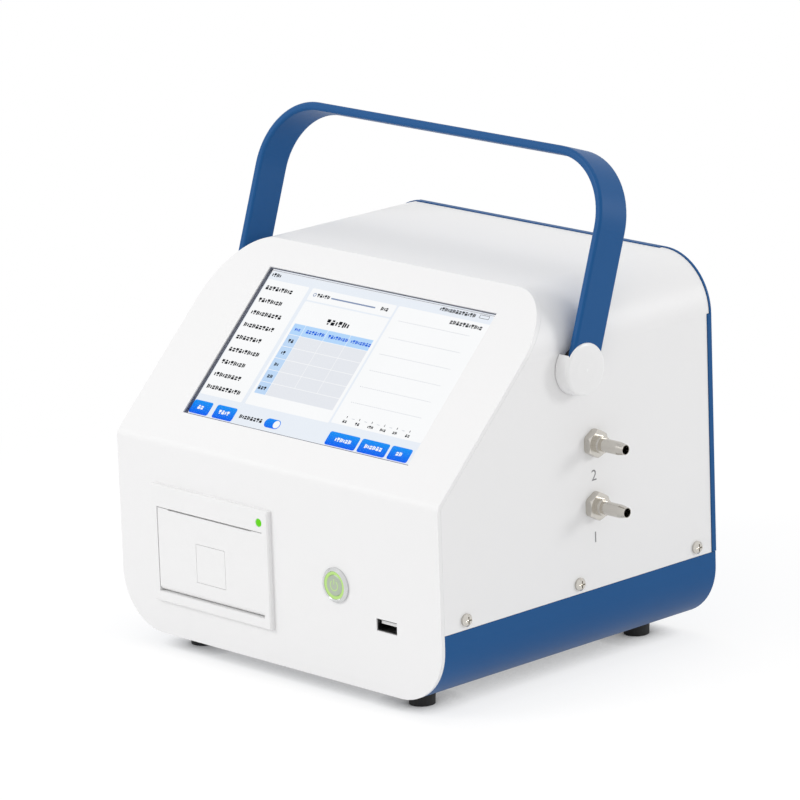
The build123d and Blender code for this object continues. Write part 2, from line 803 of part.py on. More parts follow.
def make_handle():
    """The bail: a flat band bent to a U, rounded along its edges, leaning back at rest."""
    inner_half = handle_half_w - band_t
    inner_top = handle_reach - band_t

    def arch(half, top, radius):
        outline = Rectangle(2 * half, 2 * top)
        corners = outline.vertices().group_by(Axis.Y)[-1]
        outline = fillet(corners, radius)
        return extrude(Plane.XZ * outline, amount=band_w / 2, both=True)

    band = arch(handle_half_w, handle_reach, handle_r) - arch(inner_half, inner_top, handle_r - band_t)
    ends = block(everywhere, everywhere, (-2 * body_h, 0))
    band -= ends
    for side in (-1, 1):
        pad = sorted((side * handle_half_w, side * inner_half))
        eye = rod(band_w / 2, (pad[0], 0, 0), (pad[1], 0, 0))
        band += eye & ends
    band = fillet(band.edges().filter_by(lambda edge: on_band_edge(edge)), band_edge_r)
    band -= rod(pivot_r + running, (-handle_half_w - 1, 0, 0), (handle_half_w + 1, 0, 0))
    for side in (-1, 1):
        start = side * (handle_half_w - pivot_recess)
        band -= rod(pivot_head_r + 0.4, (start, 0, 0), (start + side * 3, 0, 0))
    return at_hub(band)


def on_band_edge(edge):
    """True for the edges along the band's two flanks."""
    middle = edge @ 0.5
    return abs(abs(middle.Y) - band_w / 2) < 0.1 or middle.Z < -0.1


def at_hub(shape):
    """Bring a shape drawn upright about the origin to the hub line, leaning back."""
    return Pos(0, hub_y, hub_z) * Rot(-handle_tilt, 0, 0) * shape


def make_hub_cap(side):
    """The white cap: a shallow domed cup with a slot that the band comes out of."""
    outer = hub_proud
    profile = [(0, 0.4), (hub_r, 0.4), (hub_r, outer - 1.6), (hub_r - 0.5, outer - 0.6)]
    profile += [(hub_r - 1.5, outer - 0.15), (hub_r * 0.5, outer + 0.35), (0, outer + 0.5)]
    cap = lathe(profile, (side * side_x, 0, 0), (side, 0, 0))
    cavity = sorted((side * side_x, side * (handle_half_w + 0.02)))
    cap -= rod(band_w / 2 + cap_room, (cavity[0], 0, 0), (cavity[1], 0, 0))
    cap -= block(cavity, around(0, 2 * (hub_r - cap_skirt)), (0, 2 * hub_r))
    return at_hub(cap)


def make_pivot_bolt(side):
    """A shoulder bolt: low head in the band's recess, shoulder in its eye, stem through the cover."""
    grip = handle_half_w - side_x - pivot_recess
    stem = pivot_stem_r
    profile = [(0, -12), (stem, -12), (stem, 0), (pivot_r, 0), (pivot_r, grip), (pivot_head_r, grip)]
    profile += [(pivot_head_r, grip + pivot_head_t), (0, grip + pivot_head_t)]
    return lathe(profile, (side * side_x, hub_y, hub_z), (side, 0, 0))


def make_hub_washer(side):
    """The plastic washer between the cover and the band."""
    thick = band_gap - 0.1
    reach = band_w / 2
    profile = [(pivot_r + 0.1, 0), (reach, 0), (reach, thick), (pivot_r + 0.1, thick)]
    return lathe(profile, (side * side_x, hub_y, hub_z), (side, 0, 0))


def make_hub_backings():
    """Inside the cover, a stiffening plate and a nut for each pivot bolt."""
    pieces = []
    height = (floor_z + purge_h + nut_flats / 2 + backing_gap, top_z - corner_r - 1)
    reach = backing_t + hub_nut_t + 2
    for side in (-1, 1):
        wall = side * (side_x - sheet)
        inner = wall - side * backing_t
        plate = block(sorted((wall, inner)), around(hub_y, backing_w), height)
        nut = hexagon(hub_nut_flats, (inner, hub_y, hub_z), (-side, 0, 0), hub_nut_t)
        hole = rod(pivot_stem_r + 0.05, (side * side_x, hub_y, hub_z), (wall - side * reach, hub_y, hub_z))
        pieces.append(plate + nut - hole)
    return Compound(children=pieces)


# ---- Inside ----

shelf_x = side_x - shelf_gap
shelf_y = (front_y + shelf_front, rear_y - shelf_rear)
sensor_x = (side_x - sensor_inset - sensor_w, side_x - sensor_inset)
sensor_h = (shelf_h, purge_h - filter_r - filter_gap)
sensor_y = around(fitting_y + 0.7, sensor_d)
laser_x = sum(sensor_x) / 2
inlet_hose_x = sensor_x[0] + 10
exhaust_hose_x = sensor_x[0] - 7
pump_x = (exhaust_hose_x - 5, exhaust_hose_x - 5 + pump_l)
pump_head_w = inlet_hose_x - exhaust_hose_x + 13
filter_x = (sensor_x[1] + 4 - filter_l, sensor_x[1] + 4)
laser_r = 6.9
laser_in = 12.0         # barrel inside the block
laser_out = 14.0        # and in front of it


def tray_floor(x):
    """Height of the tray's inner face over its underside, at a place across it."""
    inner_r = corner_r - sheet
    past = max(0.0, abs(x) - flat_x)
    return corner_r - (inner_r ** 2 - past ** 2) ** 0.5


def make_shelf():
    """A folded bridge over the battery and pump that carries the sensor and the main board."""
    top = floor_z + shelf_h
    low = floor_z + shelf_foot()
    shelf = block((-shelf_x, shelf_x), shelf_y, (top - sheet, top))
    for side in (-1, 1):
        leg = sorted((side * shelf_x, side * (shelf_x - sheet)))
        shelf += block(leg, shelf_y, (low, top - sheet / 2))
        foot = sorted((side * shelf_x, side * (shelf_x - 13)))
        shelf += block(foot, shelf_y, (low, low + sheet))
    for x in (inlet_hose_x, exhaust_hose_x):
        shelf -= rod(hose_r + 1, (x, fitting_y, top - 5), (x, fitting_y, top + 5))
    return shelf


def shelf_foot():
    """Height of the shelf's feet, just clear of the tray's bend."""
    return tray_floor(shelf_x) + 0.8


def make_shelf_posts():
    """Four posts from the tray up to the shelf's feet."""
    across = 6.0
    posts = []
    for side in (-1, 1):
        for y in (shelf_y[0] + 8, shelf_y[1] - 8):
            x = side * (shelf_x - 9)
            low = tray_floor(abs(x) + across * 0.6)
            posts.append(hexagon(across, (x, y, floor_z + low), (0, 0, 1), shelf_foot() - low))
    return Compound(children=posts)


def make_sensor_block():
    """The machined block of the optical chamber, with its inlet and outlet spouts."""
    z = (floor_z + sensor_h[0], floor_z + sensor_h[1])
    chamber = block(sensor_x, sensor_y, z)
    chamber = chamfer(chamber.edges().filter_by(Axis.Z), 3)
    inlet = floor_z + sample_h
    chamber += rod(spout_r, (sensor_x[1] - 1, fitting_y, inlet), (sensor_x[1] + 8, fitting_y, inlet))
    chamber += rod(spout_r, (inlet_hose_x, fitting_y, z[0] + 1), (inlet_hose_x, fitting_y, z[0] - 7))
    chamber -= rod(barb_bore_r, (laser_x, fitting_y, inlet), (sensor_x[1] + 9, fitting_y, inlet))
    chamber -= rod(barb_bore_r, (inlet_hose_x, fitting_y, inlet), (inlet_hose_x, fitting_y, z[0] - 8))
    chamber -= rod(laser_r + 0.1, (laser_x, sensor_y[0] - 1, inlet), (laser_x, sensor_y[1] + 1, inlet))
    return chamber


def make_laser_module():
    """The laser diode in its barrel, in front of the chamber."""
    z = floor_z + sample_h
    barrel = rod(laser_r, (laser_x, sensor_y[0], z), (laser_x, sensor_y[0] + laser_in, z))
    return barrel + rod(laser_r + 2, (laser_x, sensor_y[0] - laser_out, z), (laser_x, sensor_y[0], z))


def make_detector_board():
    """The light detector's board on the back of the chamber."""
    z = floor_z + sample_h
    back = sensor_y[1] + board_t
    board = block(around(laser_x, sensor_w - 20), (sensor_y[1], back), around(z, 18))
    return board + rod(6, (laser_x, back, z), (laser_x, back + 4.4, z))


def make_filter():
    """The filter capsule with a spout at each end."""
    neck = filter_r / 2
    length = filter_l
    profile = [(0, -8), (spout_r, -8), (spout_r, 0), (neck, 0), (filter_r, 6), (filter_r, length - 6)]
    profile += [(neck, length), (spout_r, length), (spout_r, length + 6), (0, length + 6)]
    return lathe(profile, (filter_x[0], fitting_y, floor_z + purge_h), (1, 0, 0))


def make_filter_clips():
    """Two saddles that hold the filter on the sensor block."""
    z = floor_z + purge_h
    low = floor_z + sensor_h[1]
    clips = []
    for x in (filter_x[0] + 14, filter_x[1] - 14):
        saddle = block(around(x, 6), around(fitting_y, 2 * filter_r + 5), (low, z + 4))
        clips.append(saddle - rod(filter_r + stem_gap, (x - 5, fitting_y, z), (x + 5, fitting_y, z)))
    return Compound(children=clips)


def make_pump():
    """The diaphragm pump: a round motor and a square head with two spouts."""
    z = floor_z + pump_h
    neck = pump_x[0] + pump_head_w
    motor = rod(pump_r, (neck, fitting_y, z), (pump_x[1], fitting_y, z))
    head = block((pump_x[0], neck), around(fitting_y, 2 * pump_r + 2), around(z, 2 * pump_r))
    pump = motor + chamfer(head.edges().filter_by(Axis.X), 2.5)
    for x in (inlet_hose_x, exhaust_hose_x):
        pump += rod(spout_r, (x, fitting_y, z + pump_r - 1), (x, fitting_y, z + pump_r + 6))
    return pump


def make_pump_feet():
    """Rubber blocks under the pump."""
    low = floor_z + sheet
    z = floor_z + pump_h
    neck = pump_x[0] + pump_head_w
    front = block(around((pump_x[0] + neck) / 2, 12), around(fitting_y, 26), (low, z - pump_r))
    rear = block(around(pump_x[1] - 16, 12), around(fitting_y, 26), (low, z - pump_r / 2))
    rear -= rod(pump_r + stem_gap, (neck, fitting_y, z), (pump_x[1] + 1, fitting_y, z))
    return Compound(children=[front, rear])


def make_air_hoses():
    """The three straight hoses and the bent one of the air path."""
    sample_z = floor_z + sample_h
    purge_z = floor_z + purge_h
    start = side_x - fitting_in * 2 / 3
    pump_top = floor_z + pump_h + pump_r + 0.5
    sample = hose([(start, fitting_y, sample_z), (sensor_x[1] + 1, fitting_y, sample_z)])
    purge = hose([(start, fitting_y, purge_z), (filter_x[1] + 0.5, fitting_y, purge_z)])
    chamber_low = floor_z + sensor_h[0]
    suction = hose([(inlet_hose_x, fitting_y, pump_top), (inlet_hose_x, fitting_y, chamber_low - 2)])
    corner = (exhaust_hose_x, fitting_y, purge_z)
    exhaust = hose([(exhaust_hose_x, fitting_y, pump_top), corner, (filter_x[0] - 1, fitting_y, purge_z)])
    return Compound(children=[sample, purge, suction, exhaust])


board_x = (board_margin - shelf_x, exhaust_hose_x - hose_r - 12.8)
board_y = (shelf_y[0] + board_margin, shelf_y[1] - board_margin)


def make_main_board():
    """The main board with its larger components."""
    low = floor_z + shelf_h + standoff_l
    top = Pos(board_x[0], board_y[0], low + board_t)
    processor = block(around(30, 22), around(28, 22), (0, 3))
    memory = block(around(65, 14), around(18, 20), (0, 2))
    relay = block(around(70, 18), around(63, 18), (0, 12))
    plug = block(around(25, 24), around(68, 14), (0, 9))
    capacitors = rod(4, (42, 68, 0), (42, 68, 13)) + rod(4, (52, 68, 0), (52, 68, 13))
    parts = processor + memory + relay + plug + capacitors
    return block(board_x, board_y, (low, low + board_t)) + top * parts


def make_board_spacers():
    """Four spacers under the main board."""
    spacers = []
    for x in (board_x[0] + 5, board_x[1] - 5):
        for y in (board_y[0] + 5, board_y[1] - 5):
            spacers.append(hexagon(5.5, (x, y, floor_z + shelf_h), (0, 0, 1), standoff_l))
    return Compound(children=spacers)


def make_battery():
    """The battery pack on the tray."""
    width = (battery_inset - side_x, pump_x[0] - pump_room)
    rear = from_front(foot_ys[1]) - battery_gap
    low = floor_z + sheet
    pack = block(width, (shelf_y[0] + battery_front, rear), (low, low + battery_t))
    return fillet(pack.edges().filter_by(Axis.Y), battery_edge_r)


def fan_screw_places():
    """The x, z places of the fan's four screws."""
    pitch = fan_size / 2 - 5
    return [(fan_x + dx, floor_z + fan_h + dz) for dx in (-pitch, pitch) for dz in (-pitch, pitch)]


fan_y = (rear_y - sheet - fan_t, rear_y - sheet)
fan_shaft_r = 1.5


def make_fan_frame():
    """The fan's square frame, its motor seat and the struts that carry it."""
    z = floor_z + fan_h
    frame = block(around(fan_x, fan_size), fan_y, around(z, fan_size))
    frame -= rod(fan_bore_r, (fan_x, fan_y[0] - 1, z), (fan_x, fan_y[1] + 1, z))
    for angle in (45, 135, 225, 315):
        strut = block((0, fan_bore_r + 0.5), (0, 2), (-1, 1))
        frame += Pos(fan_x, fan_y[0], z) * Rot(0, -angle, 0) * strut
    seat = rod(fan_hub_r - 1, (fan_x, fan_y[0], z), (fan_x, fan_y[0] + 2, z))
    frame += seat
    frame += rod(fan_shaft_r, (fan_x, fan_y[0], z), (fan_x, fan_y[1] - 4, z))
    for x, screw_z in fan_screw_places():
        frame -= rod(screw_r + 0.2, (x, fan_y[0] - 1, screw_z), (x, fan_y[1] + 1, screw_z))
    return frame


def make_fan_rotor():
    """The rotor: a hub cup with seven pitched blades."""
    z = floor_z + fan_h
    y = (fan_y[0] + 2.5, fan_y[1] - 2)
    rotor = rod(fan_hub_r, (fan_x, y[0], z), (fan_x, y[1], z))
    blade_count = 7
    for index in range(blade_count):
        blade = block((fan_hub_r - 1.5, fan_bore_r - 1), around(0, y[1] - y[0] + 1), around(0, 1.2))
        blade = Rot(55, 0, 0) * blade
        blade = Pos(fan_x, sum(y) / 2, z) * Rot(0, index * 360 / blade_count, 0) * blade
        rotor += blade
    rotor &= block(everywhere, y, everywhere)
    return rotor - rod(fan_shaft_r + running, (fan_x, y[0] - 1, z), (fan_x, fan_y[1] - 4, z))


def make_fan_screws():
    """Four screws through the rear plate and the fan's frame."""
    length = sheet + fan_t + 3.5
    return Compound(children=[pan_screw((x, rear_y, z), (0, 1, 0), length) for x, z in fan_screw_places()])


def make_power_inlet():
    """A round low-voltage inlet with its centre pin."""
    at = (inlet_x, rear_y, floor_z + inlet_h)
    lip = inlet_r + 1.5
    bore = inlet_r - 2.3
    pin = 1.1
    profile = [(0, -16), (inlet_r, -16), (inlet_r, 0), (lip, 0), (lip, 1.6), (bore, 1.6), (bore, -10)]
    profile += [(pin, -10), (pin, -1), (0, -1)]
    return lathe(profile, at, (0, 1, 0))


# ---- Every node ----

nodes["front_panel"] = make_front_panel()
nodes["top_cover"] = make_top_cover()
nodes["base_tray"] = make_base_tray()
nodes["rear_panel"] = make_rear_panel()
nodes["side_screws"] = make_side_screws()
nodes["rubber_feet"] = Compound(children=[make_foot(place) for place in foot_places()])
nodes["foot_screws"] = make_foot_screws()

nodes["display_gasket"] = make_display_gasket()
nodes["touch_glass"] = make_touch_glass()
nodes["lcd_module"] = slope_slab(module_w, module_h, module_depth, module_t)
nodes["display_frame"] = make_display_frame()
nodes["display_pillars"] = slope_pillars(pillar_r, pillar_x, pillar_s, panel_t, frame_depth - panel_t)
nodes["display_board"] = make_display_board()
nodes["display_board_spacers"] = slope_pillars(
    spacer_r,
    board_w / 2 - 6,
    board_h / 2 - 5,
    frame_depth + frame_t,
    display_spacer_l,
)

nodes["printer_bezel"] = make_printer_bezel()
nodes["status_led"] = make_status_led()
nodes["printer_door"] = make_printer_door()
nodes["door_hinge_pin"] = hinge_line(hinge_pin_r, sleeve_w / 2)
nodes["door_latch"] = make_door_latch()
nodes["latch_cup"] = make_latch_cup()
nodes["platen_shaft"] = make_platen_shaft()
nodes["platen_roller"] = make_platen_roller()
nodes["print_head"] = make_print_head()
nodes["head_plate"] = make_head_plate()
nodes["printer_bin"] = make_printer_bin()
nodes["paper_roll"] = make_paper_roll()

nodes["power_button_bezel"] = make_button_bezel()
nodes["power_button_ring"] = make_button_ring()
nodes["power_button_cap"] = make_button_cap()
nodes["power_button_nut"] = make_button_nut()
nodes["power_button_block"] = make_button_block()
nodes["usb_shell"] = make_usb_shell()
nodes["usb_tongue"] = make_usb_tongue()
nodes["usb_board"] = make_usb_board()

nodes["purge_fitting"] = make_fitting(purge_h)
nodes["sample_fitting"] = make_fitting(sample_h)
nodes["fitting_nuts"] = make_fitting_nuts()

nodes["handle"] = make_handle()
nodes["hub_cap_left"] = make_hub_cap(-1)
nodes["hub_cap_right"] = make_hub_cap(1)
nodes["pivot_bolts"] = Compound(children=[make_pivot_bolt(side) for side in (-1, 1)])
nodes["hub_washers"] = Compound(children=[make_hub_washer(side) for side in (-1, 1)])
nodes["hub_backings"] = make_hub_backings()

nodes["instrument_shelf"] = make_shelf()
nodes["shelf_posts"] = make_shelf_posts()
nodes["sensor_block"] = make_sensor_block()
nodes["laser_module"] = make_laser_module()
nodes["detector_board"] = make_detector_board()
nodes["filter_capsule"] = make_filter()
nodes["filter_clips"] = make_filter_clips()
nodes["vacuum_pump"] = make_pump()
nodes["pump_feet"] = make_pump_feet()
nodes["air_hoses"] = make_air_hoses()
nodes["main_board"] = make_main_board()
nodes["board_spacers"] = make_board_spacers()
nodes["battery_pack"] = make_battery()
nodes["fan_frame"] = make_fan_frame()
nodes["fan_rotor"] = make_fan_rotor()
nodes["fan_screws"] = make_fan_screws()
nodes["power_inlet"] = make_power_inlet()

os.makedirs("parts", exist_ok=True)
for name, shape in nodes.items():
    export_step(shape, f"parts/{name}.step")
print(len(nodes), "nodes written")
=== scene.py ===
# %% [markdown]
# # An airborne particle counter for clean rooms
#
# A folded steel case: a white front plate that slopes back under the display, a white cover over
# the sides and top, a blue tray below and a blue plate behind. A blue bail swings on two white
# hubs. The CAD frame holds every solid at its place, so this lesson moves none of them. It gives
# each its finish, adds what is too thin for CAD, such as the picture on the display, and lights it.

# %% load the frame
import json
import math
import bpy
from mathutils import Matrix, Vector


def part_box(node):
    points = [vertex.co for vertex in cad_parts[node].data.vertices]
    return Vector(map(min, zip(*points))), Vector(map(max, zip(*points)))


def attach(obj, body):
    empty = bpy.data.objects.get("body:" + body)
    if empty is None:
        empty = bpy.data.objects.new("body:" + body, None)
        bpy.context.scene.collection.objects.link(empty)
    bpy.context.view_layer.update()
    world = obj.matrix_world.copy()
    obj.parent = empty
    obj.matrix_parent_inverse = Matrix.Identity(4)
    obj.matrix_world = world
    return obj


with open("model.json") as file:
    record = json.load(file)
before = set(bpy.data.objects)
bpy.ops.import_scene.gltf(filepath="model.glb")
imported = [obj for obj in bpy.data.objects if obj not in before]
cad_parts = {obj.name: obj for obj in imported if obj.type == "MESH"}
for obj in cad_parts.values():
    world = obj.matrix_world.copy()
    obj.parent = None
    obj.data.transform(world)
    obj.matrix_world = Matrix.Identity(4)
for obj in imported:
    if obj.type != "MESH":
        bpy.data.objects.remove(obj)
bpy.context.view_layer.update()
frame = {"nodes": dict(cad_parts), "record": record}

MM = 0.001
NODES = frame["nodes"]
RECORD = frame["record"]

# %% [markdown]
# ## Small tools for node trees
#
# Every finish is a node tree. A few helpers keep the trees short: one adds a node with its inputs
# set, one makes a colour ramp, and one opens a node group with named sockets. A group is used for
# each effect that several materials share, so that the effect is described once.

# %% node helpers
FLOAT, COLOUR, VECTOR = "NodeSocketFloat", "NodeSocketColor", "NodeSocketVector"


def add(tree, kind, links=None, **values):
    """Add a node. links names inputs and the sockets that feed them, values sets inputs."""
    node = tree.nodes.new(kind)
    for label, value in values.items():
        node.inputs[label.replace("_", " ")].default_value = value
    for label, socket in (links or {}).items():
        tree.links.new(socket, node.inputs[label])
    return node


def ramp(tree, factor, stops):
    """A colour ramp from (place, colour) stops."""
    node = tree.nodes.new("ShaderNodeValToRGB")
    elements = node.color_ramp.elements
    while len(elements) < len(stops):
        elements.new(0.5)
    for element, (place, colour) in zip(elements, stops):
        element.position = place
        element.color = (*colour, 1)
    tree.links.new(factor, node.inputs["Fac"])
    return node.outputs["Color"]


def spread(tree, value, low, high):
    """Map a 0 to 1 value to a range."""
    node = add(tree, "ShaderNodeMapRange", {"Value": value})
    node.inputs["To Min"].default_value = low
    node.inputs["To Max"].default_value = high
    return node.outputs["Result"]


def vector_math(tree, operation, first, second=None):
    """One step of vector arithmetic."""
    node = tree.nodes.new("ShaderNodeVectorMath")
    node.operation = operation
    tree.links.new(first, node.inputs[0])
    if second is not None:
        tree.links.new(second, node.inputs[1])
    return node


def maths(tree, operation, first, second):
    """One step of arithmetic on two values."""
    node = tree.nodes.new("ShaderNodeMath")
    node.operation = operation
    tree.links.new(first, node.inputs[0])
    tree.links.new(second, node.inputs[1])
    return node.outputs["Value"]


def open_group(name, inputs, outputs):
    """A new node group with its named sockets."""
    tree = bpy.data.node_groups.new(name, "ShaderNodeTree")
    for label, kind, value in inputs:
        socket = tree.interface.new_socket(label, in_out="INPUT", socket_type=kind)
        socket.default_value = value
    for label, kind in outputs:
        tree.interface.new_socket(label, in_out="OUTPUT", socket_type=kind)
    return tree, tree.nodes.new("NodeGroupInput"), tree.nodes.new("NodeGroupOutput")


LOOK_OUTPUTS = [("Colour", COLOUR), ("Roughness", FLOAT), ("Height", FLOAT)]
print("helpers ready")

# %% [markdown]
# ## Powder coat
#
# The case and the bail are sprayed with paint powder that melts in an oven. It flows into a very
# shallow orange peel, a couple of millimetres from bump to bump, with a satin gloss that drifts a
# little from place to place. Displaced geometry would cost millions of faces for a relief of a
# hundredth of a millimetre, so a fine noise drives a bump and a broad one the colour and gloss.

# %% powder coat group
def powder_coat():
    """Colour between two near shades, satin roughness and an orange peel."""
    inputs = [
        ("Colour", COLOUR, (0.8, 0.8, 0.8, 1)),
        ("Shade", COLOUR, (0.7, 0.7, 0.7, 1)),
        ("Peel scale", FLOAT, 420.0),
        ("Gloss low", FLOAT, 0.40),
        ("Gloss high", FLOAT, 0.50),
    ]
    tree, start, end = open_group("powder_coat", inputs, LOOK_OUTPUTS)
    place = tree.nodes.new("ShaderNodeTexCoord").outputs["Object"]
    cloud = add(tree, "ShaderNodeTexNoise", {"Vector": place}, Scale=9, Detail=3).outputs["Fac"]
    mix = tree.nodes.new("ShaderNodeMix")
    mix.data_type = "RGBA"
    tree.links.new(cloud, mix.inputs["Factor"])
    tree.links.new(start.outputs["Colour"], mix.inputs[6])
    tree.links.new(start.outputs["Shade"], mix.inputs[7])
    tree.links.new(mix.outputs[2], end.inputs["Colour"])
    gloss = add(tree, "ShaderNodeMapRange", {"Value": cloud})
    tree.links.new(start.outputs["Gloss low"], gloss.inputs["To Min"])
    tree.links.new(start.outputs["Gloss high"], gloss.inputs["To Max"])
    tree.links.new(gloss.outputs["Result"], end.inputs["Roughness"])
    feeds = {"Vector": place, "Scale": start.outputs["Peel scale"]}
    peel = add(tree, "ShaderNodeTexNoise", feeds, Detail=2)
    tree.links.new(peel.outputs["Fac"], end.inputs["Height"])
    return tree


POWDER = powder_coat()
print("group:", POWDER.name)

# %% [markdown]
# ## Moulded plastic, rubber and board
#
# Moulded pieces take the fine spark-eroded texture of their mould. One group serves them all, from
# the smooth white hub caps to the matt rubber feet: a very fine noise for the relief and a softer
# one that moves brightness and gloss. The roughness range is an input, because that is what sets
# glossy plastic apart from rubber.

# %% moulded grain group
def moulded_grain():
    """The fine, even texture of a moulded face."""
    inputs = [
        ("Colour", COLOUR, (0.8, 0.8, 0.8, 1)),
        ("Gloss low", FLOAT, 0.3),
        ("Gloss high", FLOAT, 0.4),
        ("Grain scale", FLOAT, 900.0),
    ]
    tree, start, end = open_group("moulded_grain", inputs, LOOK_OUTPUTS)
    place = tree.nodes.new("ShaderNodeTexCoord").outputs["Object"]
    feeds = {"Vector": place, "Scale": start.outputs["Grain scale"]}
    fine = add(tree, "ShaderNodeTexNoise", feeds).outputs["Fac"]
    soft = add(tree, "ShaderNodeTexNoise", {"Vector": place}, Scale=25).outputs["Fac"]
    gloss = add(tree, "ShaderNodeMapRange", {"Value": soft})
    tree.links.new(start.outputs["Gloss low"], gloss.inputs["To Min"])
    tree.links.new(start.outputs["Gloss high"], gloss.inputs["To Max"])
    tree.links.new(gloss.outputs["Result"], end.inputs["Roughness"])
    tint = tree.nodes.new("ShaderNodeHueSaturation")
    tree.links.new(spread(tree, soft, 0.97, 1.02), tint.inputs["Value"])
    tree.links.new(start.outputs["Colour"], tint.inputs["Color"])
    tree.links.new(tint.outputs["Color"], end.inputs["Colour"])
    tree.links.new(fine, end.inputs["Height"])
    return tree


GRAIN = moulded_grain()
print("group:", GRAIN.name)

# %% [markdown]
# ## Turned and plated metal
#
# Fittings, screws and the power button are turned on a lathe. The tool leaves rings round the
# turning axis. Adding the distance along that axis to the distance from a point on it gives a
# number that is the same all round each ring, and a one-dimensional noise of it draws the rings.
# A picture of brushed metal would not follow the axis of each piece.

# %% turned metal group
def turned_marks():
    """Rings that a lathe tool leaves, running round an axis."""
    inputs = [
        ("Colour", COLOUR, (0.6, 0.6, 0.6, 1)),
        ("Centre", VECTOR, (0, 0, 0)),
        ("Axis", VECTOR, (1, 0, 0)),
        ("Rings per metre", FLOAT, 2500.0),
        ("Gloss low", FLOAT, 0.18),
        ("Gloss high", FLOAT, 0.34),
    ]
    tree, start, end = open_group("turned_marks", inputs, LOOK_OUTPUTS)
    place = tree.nodes.new("ShaderNodeTexCoord").outputs["Object"]
    off = vector_math(tree, "SUBTRACT", place, start.outputs["Centre"]).outputs["Vector"]
    along = vector_math(tree, "DOT_PRODUCT", off, start.outputs["Axis"]).outputs["Value"]
    away = vector_math(tree, "LENGTH", off).outputs["Value"]
    ring = maths(tree, "ADD", along, away)
    marks = tree.nodes.new("ShaderNodeTexNoise")
    marks.noise_dimensions = "1D"
    marks.inputs["Scale"].default_value = 1
    rings = maths(tree, "MULTIPLY", ring, start.outputs["Rings per metre"])
    tree.links.new(rings, marks.inputs["W"])
    gloss = add(tree, "ShaderNodeMapRange", {"Value": marks.outputs["Fac"]})
    tree.links.new(start.outputs["Gloss low"], gloss.inputs["To Min"])
    tree.links.new(start.outputs["Gloss high"], gloss.inputs["To Max"])
    tree.links.new(gloss.outputs["Result"], end.inputs["Roughness"])
    tint = tree.nodes.new("ShaderNodeHueSaturation")
    tree.links.new(spread(tree, marks.outputs["Fac"], 0.88, 1.05), tint.inputs["Value"])
    tree.links.new(start.outputs["Colour"], tint.inputs["Color"])
    tree.links.new(tint.outputs["Color"], end.inputs["Colour"])
    tree.links.new(marks.outputs["Fac"], end.inputs["Height"])
    return tree


TURNED = turned_marks()
print("group:", TURNED.name)

# %% [markdown]
# ## From a group to a material
#
# A material is one of those groups wired into a Principled shader. What is the same all over a
# surface, such as how metallic it is, stays on the shader's own sockets.

# %% material makers
RELIEF = 0.00002        # height of the relief in metres


def surface(name, look, values, bump=0.05, metallic=0.0, specular=0.5):
    """One material: a look group that feeds a plain shader."""
    material = bpy.data.materials.new(name)
    material.use_nodes = True
    tree = material.node_tree
    shader = tree.nodes["Principled BSDF"]
    shader.inputs["Metallic"].default_value = metallic
    shader.inputs["Specular IOR Level"].default_value = specular
    node = tree.nodes.new("ShaderNodeGroup")
    node.node_tree = look
    for label, value in values.items():
        node.inputs[label].default_value = value
    feeds = {"Height": node.outputs["Height"]}
    relief = add(tree, "ShaderNodeBump", feeds, Strength=bump, Distance=RELIEF)
    tree.links.new(node.outputs["Colour"], shader.inputs["Base Color"])
    tree.links.new(node.outputs["Roughness"], shader.inputs["Roughness"])
    tree.links.new(relief.outputs["Normal"], shader.inputs["Normal"])
    return material


def powder(name, colour, shade, **more):
    """Powder coat between two near shades."""
    values = {"Colour": (*colour, 1), "Shade": (*shade, 1)}
    return surface(name, POWDER, values, bump=0.15, **more)


def moulded(name, colour, low=0.3, high=0.4, **more):
    """Plastic, rubber and the like, from glossy to matt."""
    values = {"Colour": (*colour, 1), "Gloss low": low, "Gloss high": high}
    return surface(name, GRAIN, values, **more)


def metal(name, colour, centre=(0, 0, 0), axis=(1, 0, 0), low=0.18, high=0.34):
    """Metal with tool marks round an axis through a centre."""
    values = {"Colour": (*colour, 1), "Centre": centre, "Axis": axis}
    values.update({"Gloss low": low, "Gloss high": high})
    return surface(name, TURNED, values, metallic=1.0)


print("material makers ready")

# %% [markdown]
# ## The painted sheets
#
# White is a clean neutral that stops short of full brightness, so that its shading still shows. The
# blue of the tray, the rear plate and the bail is a deep ultramarine with a low sheen.

# %% paints
white_powder = powder("white_powder", (0.875, 0.872, 0.872), (0.858, 0.855, 0.855))
blue_powder = powder("blue_powder", (0.005, 0.086, 0.262), (0.005, 0.079, 0.246), specular=0.22)
print("paints:", white_powder.name, blue_powder.name)

# %% [markdown]
# ## Plastics, rubber, metals and the rest
#
# The printer's frame and the hub caps are moulded in white, a little smoother than the paint. The
# feet are black rubber. The fittings and screws are bright nickel, warmer than the steel of the
# power button. The pieces inside the case get honest finishes as well, since the model can be
# taken apart.

# %% other finishes
button_low, button_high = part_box("power_button_cap")
BUTTON_CENTRE = tuple((button_low + button_high) / 2)

white_moulding = moulded("white_moulding", (0.865, 0.863, 0.862), 0.25, 0.33)
black_moulding = moulded("black_moulding", (0.012, 0.012, 0.013), 0.35, 0.5)
black_rubber = moulded("black_rubber", (0.014, 0.014, 0.014), 0.6, 0.8)
grey_seal = moulded("grey_seal", (0.12, 0.13, 0.17), 0.7, 0.85, bump=0.3)
steel = metal("turned_steel", (0.66, 0.67, 0.67), BUTTON_CENTRE, (0, 1, 0), 0.12, 0.24)
button_steel = metal("button_cap_steel", (0.47, 0.54, 0.43), BUTTON_CENTRE, (0, 1, 0), 0.3, 0.42)
nickel = metal("bright_nickel", (0.62, 0.595, 0.55), low=0.16, high=0.3)
# the socket's nickel shell, painted near black for the shade deep inside the socket
shell_painted_shade = metal("socket_shell_painted_shade", (0.10, 0.10, 0.10), low=0.35, high=0.5)
zinc = metal("zinc_sheet", (0.55, 0.56, 0.57), axis=(0, 0, 1))
aluminium = metal("machined_aluminium", (0.75, 0.76, 0.77), axis=(0, 1, 0))
